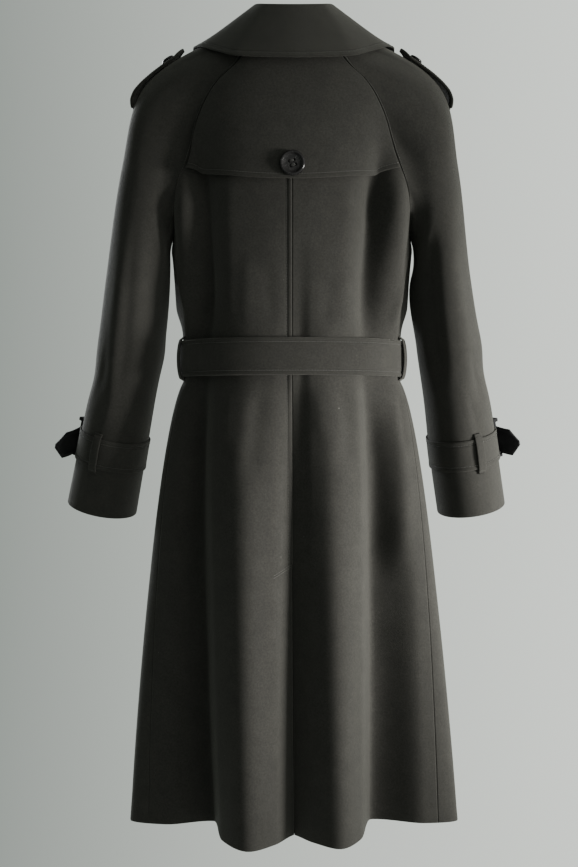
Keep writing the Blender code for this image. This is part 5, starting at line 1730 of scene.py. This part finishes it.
def dress_straps():
    """Belt, cuff straps and their loops."""
    points = belt()
    sheet = Sheet(points, points * (1.0, 1.0, 0.0), STRAP_CLOTH)
    dress_strap("belt", sheet, "row")
    for label, side in SIDES.items():
        points = belt_loop(side)
        loop = Sheet(points, points * (1.0, 1.0, 0.0), LOOP_CLOTH)
        dress_strap("belt_loop_" + label, loop)
        points = cuff_strap(side)
        strap = Sheet(points, points - points.mean(axis=1, keepdims=True), CUFF_CLOTH, closed=True)
        dress_strap("cuff_strap_" + label, strap, "row")
        middle = points.mean(axis=(0, 1))
        points = cuff_loop(side)
        dress_strap("cuff_loop_" + label, Sheet(points, points - middle, LOOP_CLOTH))
        dress_tip(label, side, middle)


def dress_tip(label, side, middle):
    """Leather strap end with a pressed border and stitching."""
    points = cuff_tip(side)
    sheet = Sheet(points, points - middle, TIP_THICK)
    left, right, ahead = (sheet.from_edge(edge)[1] for edge in ("first column", "last column", "last row"))
    edge = np.minimum(np.minimum(left, right), ahead * TIP_AHEAD)
    press = sum(rise * hump(edge - inset, half_width) for rise, inset, half_width in TIP_PRESS)
    sheet.points = sheet.points + press[..., None] * sheet.out
    parts = Parts()
    add_shell(parts, sheet)
    border = []
    for step, away in ((1, left), (-1, right)):
        for line, out, run in zip(*(grid[::step, ::step] for grid in (sheet.points, sheet.out, away))):
            if run[-1] > TIP_LEAST_WIDTH:
                border.append([sample(TIP_STITCH_IN, run, grid) for grid in (line, out)])
    border = np.array(border)
    add_stitches(parts, border[:, 0], border[:, 1])
    made = parts.make("leather_cuff_tip_" + label, (LEATHER, LEATHER_THREAD))
    settle(made, "leather", "cuff_tip_" + label)


def round_edges(shape, radius, clamp):
    """Rounds the sharp edges of a shape; clamp keeps the rounding from running into itself."""
    sharp = []
    for edge in shape.edges:
        if len(edge.link_faces) == 2 and edge.calc_face_angle() > SHARP_TURN:
            sharp.append(edge)
    bmesh.ops.bevel(
        shape,
        geom=sharp,
        offset=radius,
        segments=ROUND_STEPS,
        profile=0.5,
        affect="EDGES",
        clamp_overlap=clamp,
    )


def shape_object(name, shape, look):
    """Object with the faces of a shape."""
    data = bpy.data.meshes.new(name)
    shape.to_mesh(data)
    shape.free()
    data.materials.append(look)
    return place_object(name, data)


def dress_buckles():
    """Buckles with the shape of their CAD nodes and rounded edges."""
    for name in ("belt_buckle", "cuff_buckle_left", "cuff_buckle_right"):
        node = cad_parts[name]
        shape = bmesh.new()
        shape.from_mesh(node.data)
        shape.transform(node.matrix_world)
        bmesh.ops.remove_doubles(shape, verts=shape.verts, dist=BUCKLE_MERGE)
        bmesh.ops.dissolve_limit(shape, angle_limit=FLAT_TURN, verts=shape.verts, edges=shape.edges)
        round_edges(shape, BUCKLE_ROUNDING, True)
        made = shape_object("leather_" + name, shape, BUCKLE_LEATHER)
        made.data.shade_smooth()
        settle(made, "leather", name)


def dress_buttons():
    places = {"storm_flap_button": BACKWARD}
    for label in SIDES:
        places["epaulette_button_" + label] = UPWARD
        for row in range(1, FRONT_BUTTON_ROWS + 1):
            places["front_button_" + label + "_" + str(row)] = FORWARD
    for name, outside in places.items():
        parts = Parts()
        add_button(parts, name, outside)
        settle(parts.make("horn_" + name, (HORN, BUTTON_THREAD)), "button", name)


# Studio

def build_floor():
    shape = bmesh.new()
    bmesh.ops.create_cone(
        shape,
        cap_ends=True,
        segments=FLOOR_SIDES,
        radius1=FLOOR_RADIUS,
        radius2=FLOOR_RADIUS,
        depth=FLOOR_THICK,
    )
    round_edges(shape, FLOOR_ROUNDING, False)
    floor = shape_object("floor", shape, plaster("pale floor", FLOOR_COLOUR))
    floor.location = (0.0, 0.0, FLOOR_HEIGHT - FLOOR_THICK / 2.0)


def build_walls():
    """Pale light all round, darker towards the left of the picture and overhead."""
    world = bpy.data.worlds.new("studio")
    world.use_nodes = True
    nodes = Nodes(world.node_tree)
    sky = nodes.tree.nodes["Background"]
    way = nodes.add("ShaderNodeTexCoord").outputs["Generated"]
    ways = nodes.add("ShaderNodeSeparateXYZ", {"Vector": way}).outputs
    steep = nodes.maths("ABSOLUTE", ways["Z"])
    strength = nodes.span(steep, WALL_LEVEL, WALL_STEEP, 1.0, WALL_STEEP_LIGHT)
    share = nodes.span(ways["X"], WALL_DARK_SIDE, WALL_PALE_SIDE, 0.0, 1.0)
    nodes.feed(sky.inputs["Strength"], strength)
    nodes.feed(sky.inputs["Color"], nodes.blend(share, WALL_DARK, WALL_PALE))
    bpy.context.scene.world = world


def build_lights():
    for name, place, wide, tall, watts, beam, colour in LIGHTS:
        lamp = bpy.data.lights.new(name, "AREA")
        lamp.shape = "RECTANGLE"
        lamp.size = wide
        lamp.size_y = tall
        lamp.energy = watts
        lamp.spread = math.radians(beam)
        lamp.color = colour
        made = place_object(name, lamp)
        made.location = place
        made.rotation_euler = (Vector(LIT_PLACE) - Vector(place)).to_track_quat("-Z", "Y").to_euler()


def build_camera():
    """Camera behind the coat, at the photo's angle."""
    eye = bpy.data.cameras.new("camera")
    eye.lens = CAMERA_LENS
    eye.sensor_width = CAMERA_SENSOR
    eye.clip_start = CAMERA_NEAR
    camera = place_object("camera", eye)
    camera.location = CAMERA_PLACE
    camera.rotation_euler = (math.radians(90.0), 0.0, math.radians(180.0))
    bpy.context.scene.camera = camera


build_floor()
build_walls()
build_lights()
build_camera()
dress_backs()
dress_fronts()
dress_sleeves()
dress_layers()
dress_straps()
dress_buckles()
dress_buttons()
bpy.context.view_layer.update()
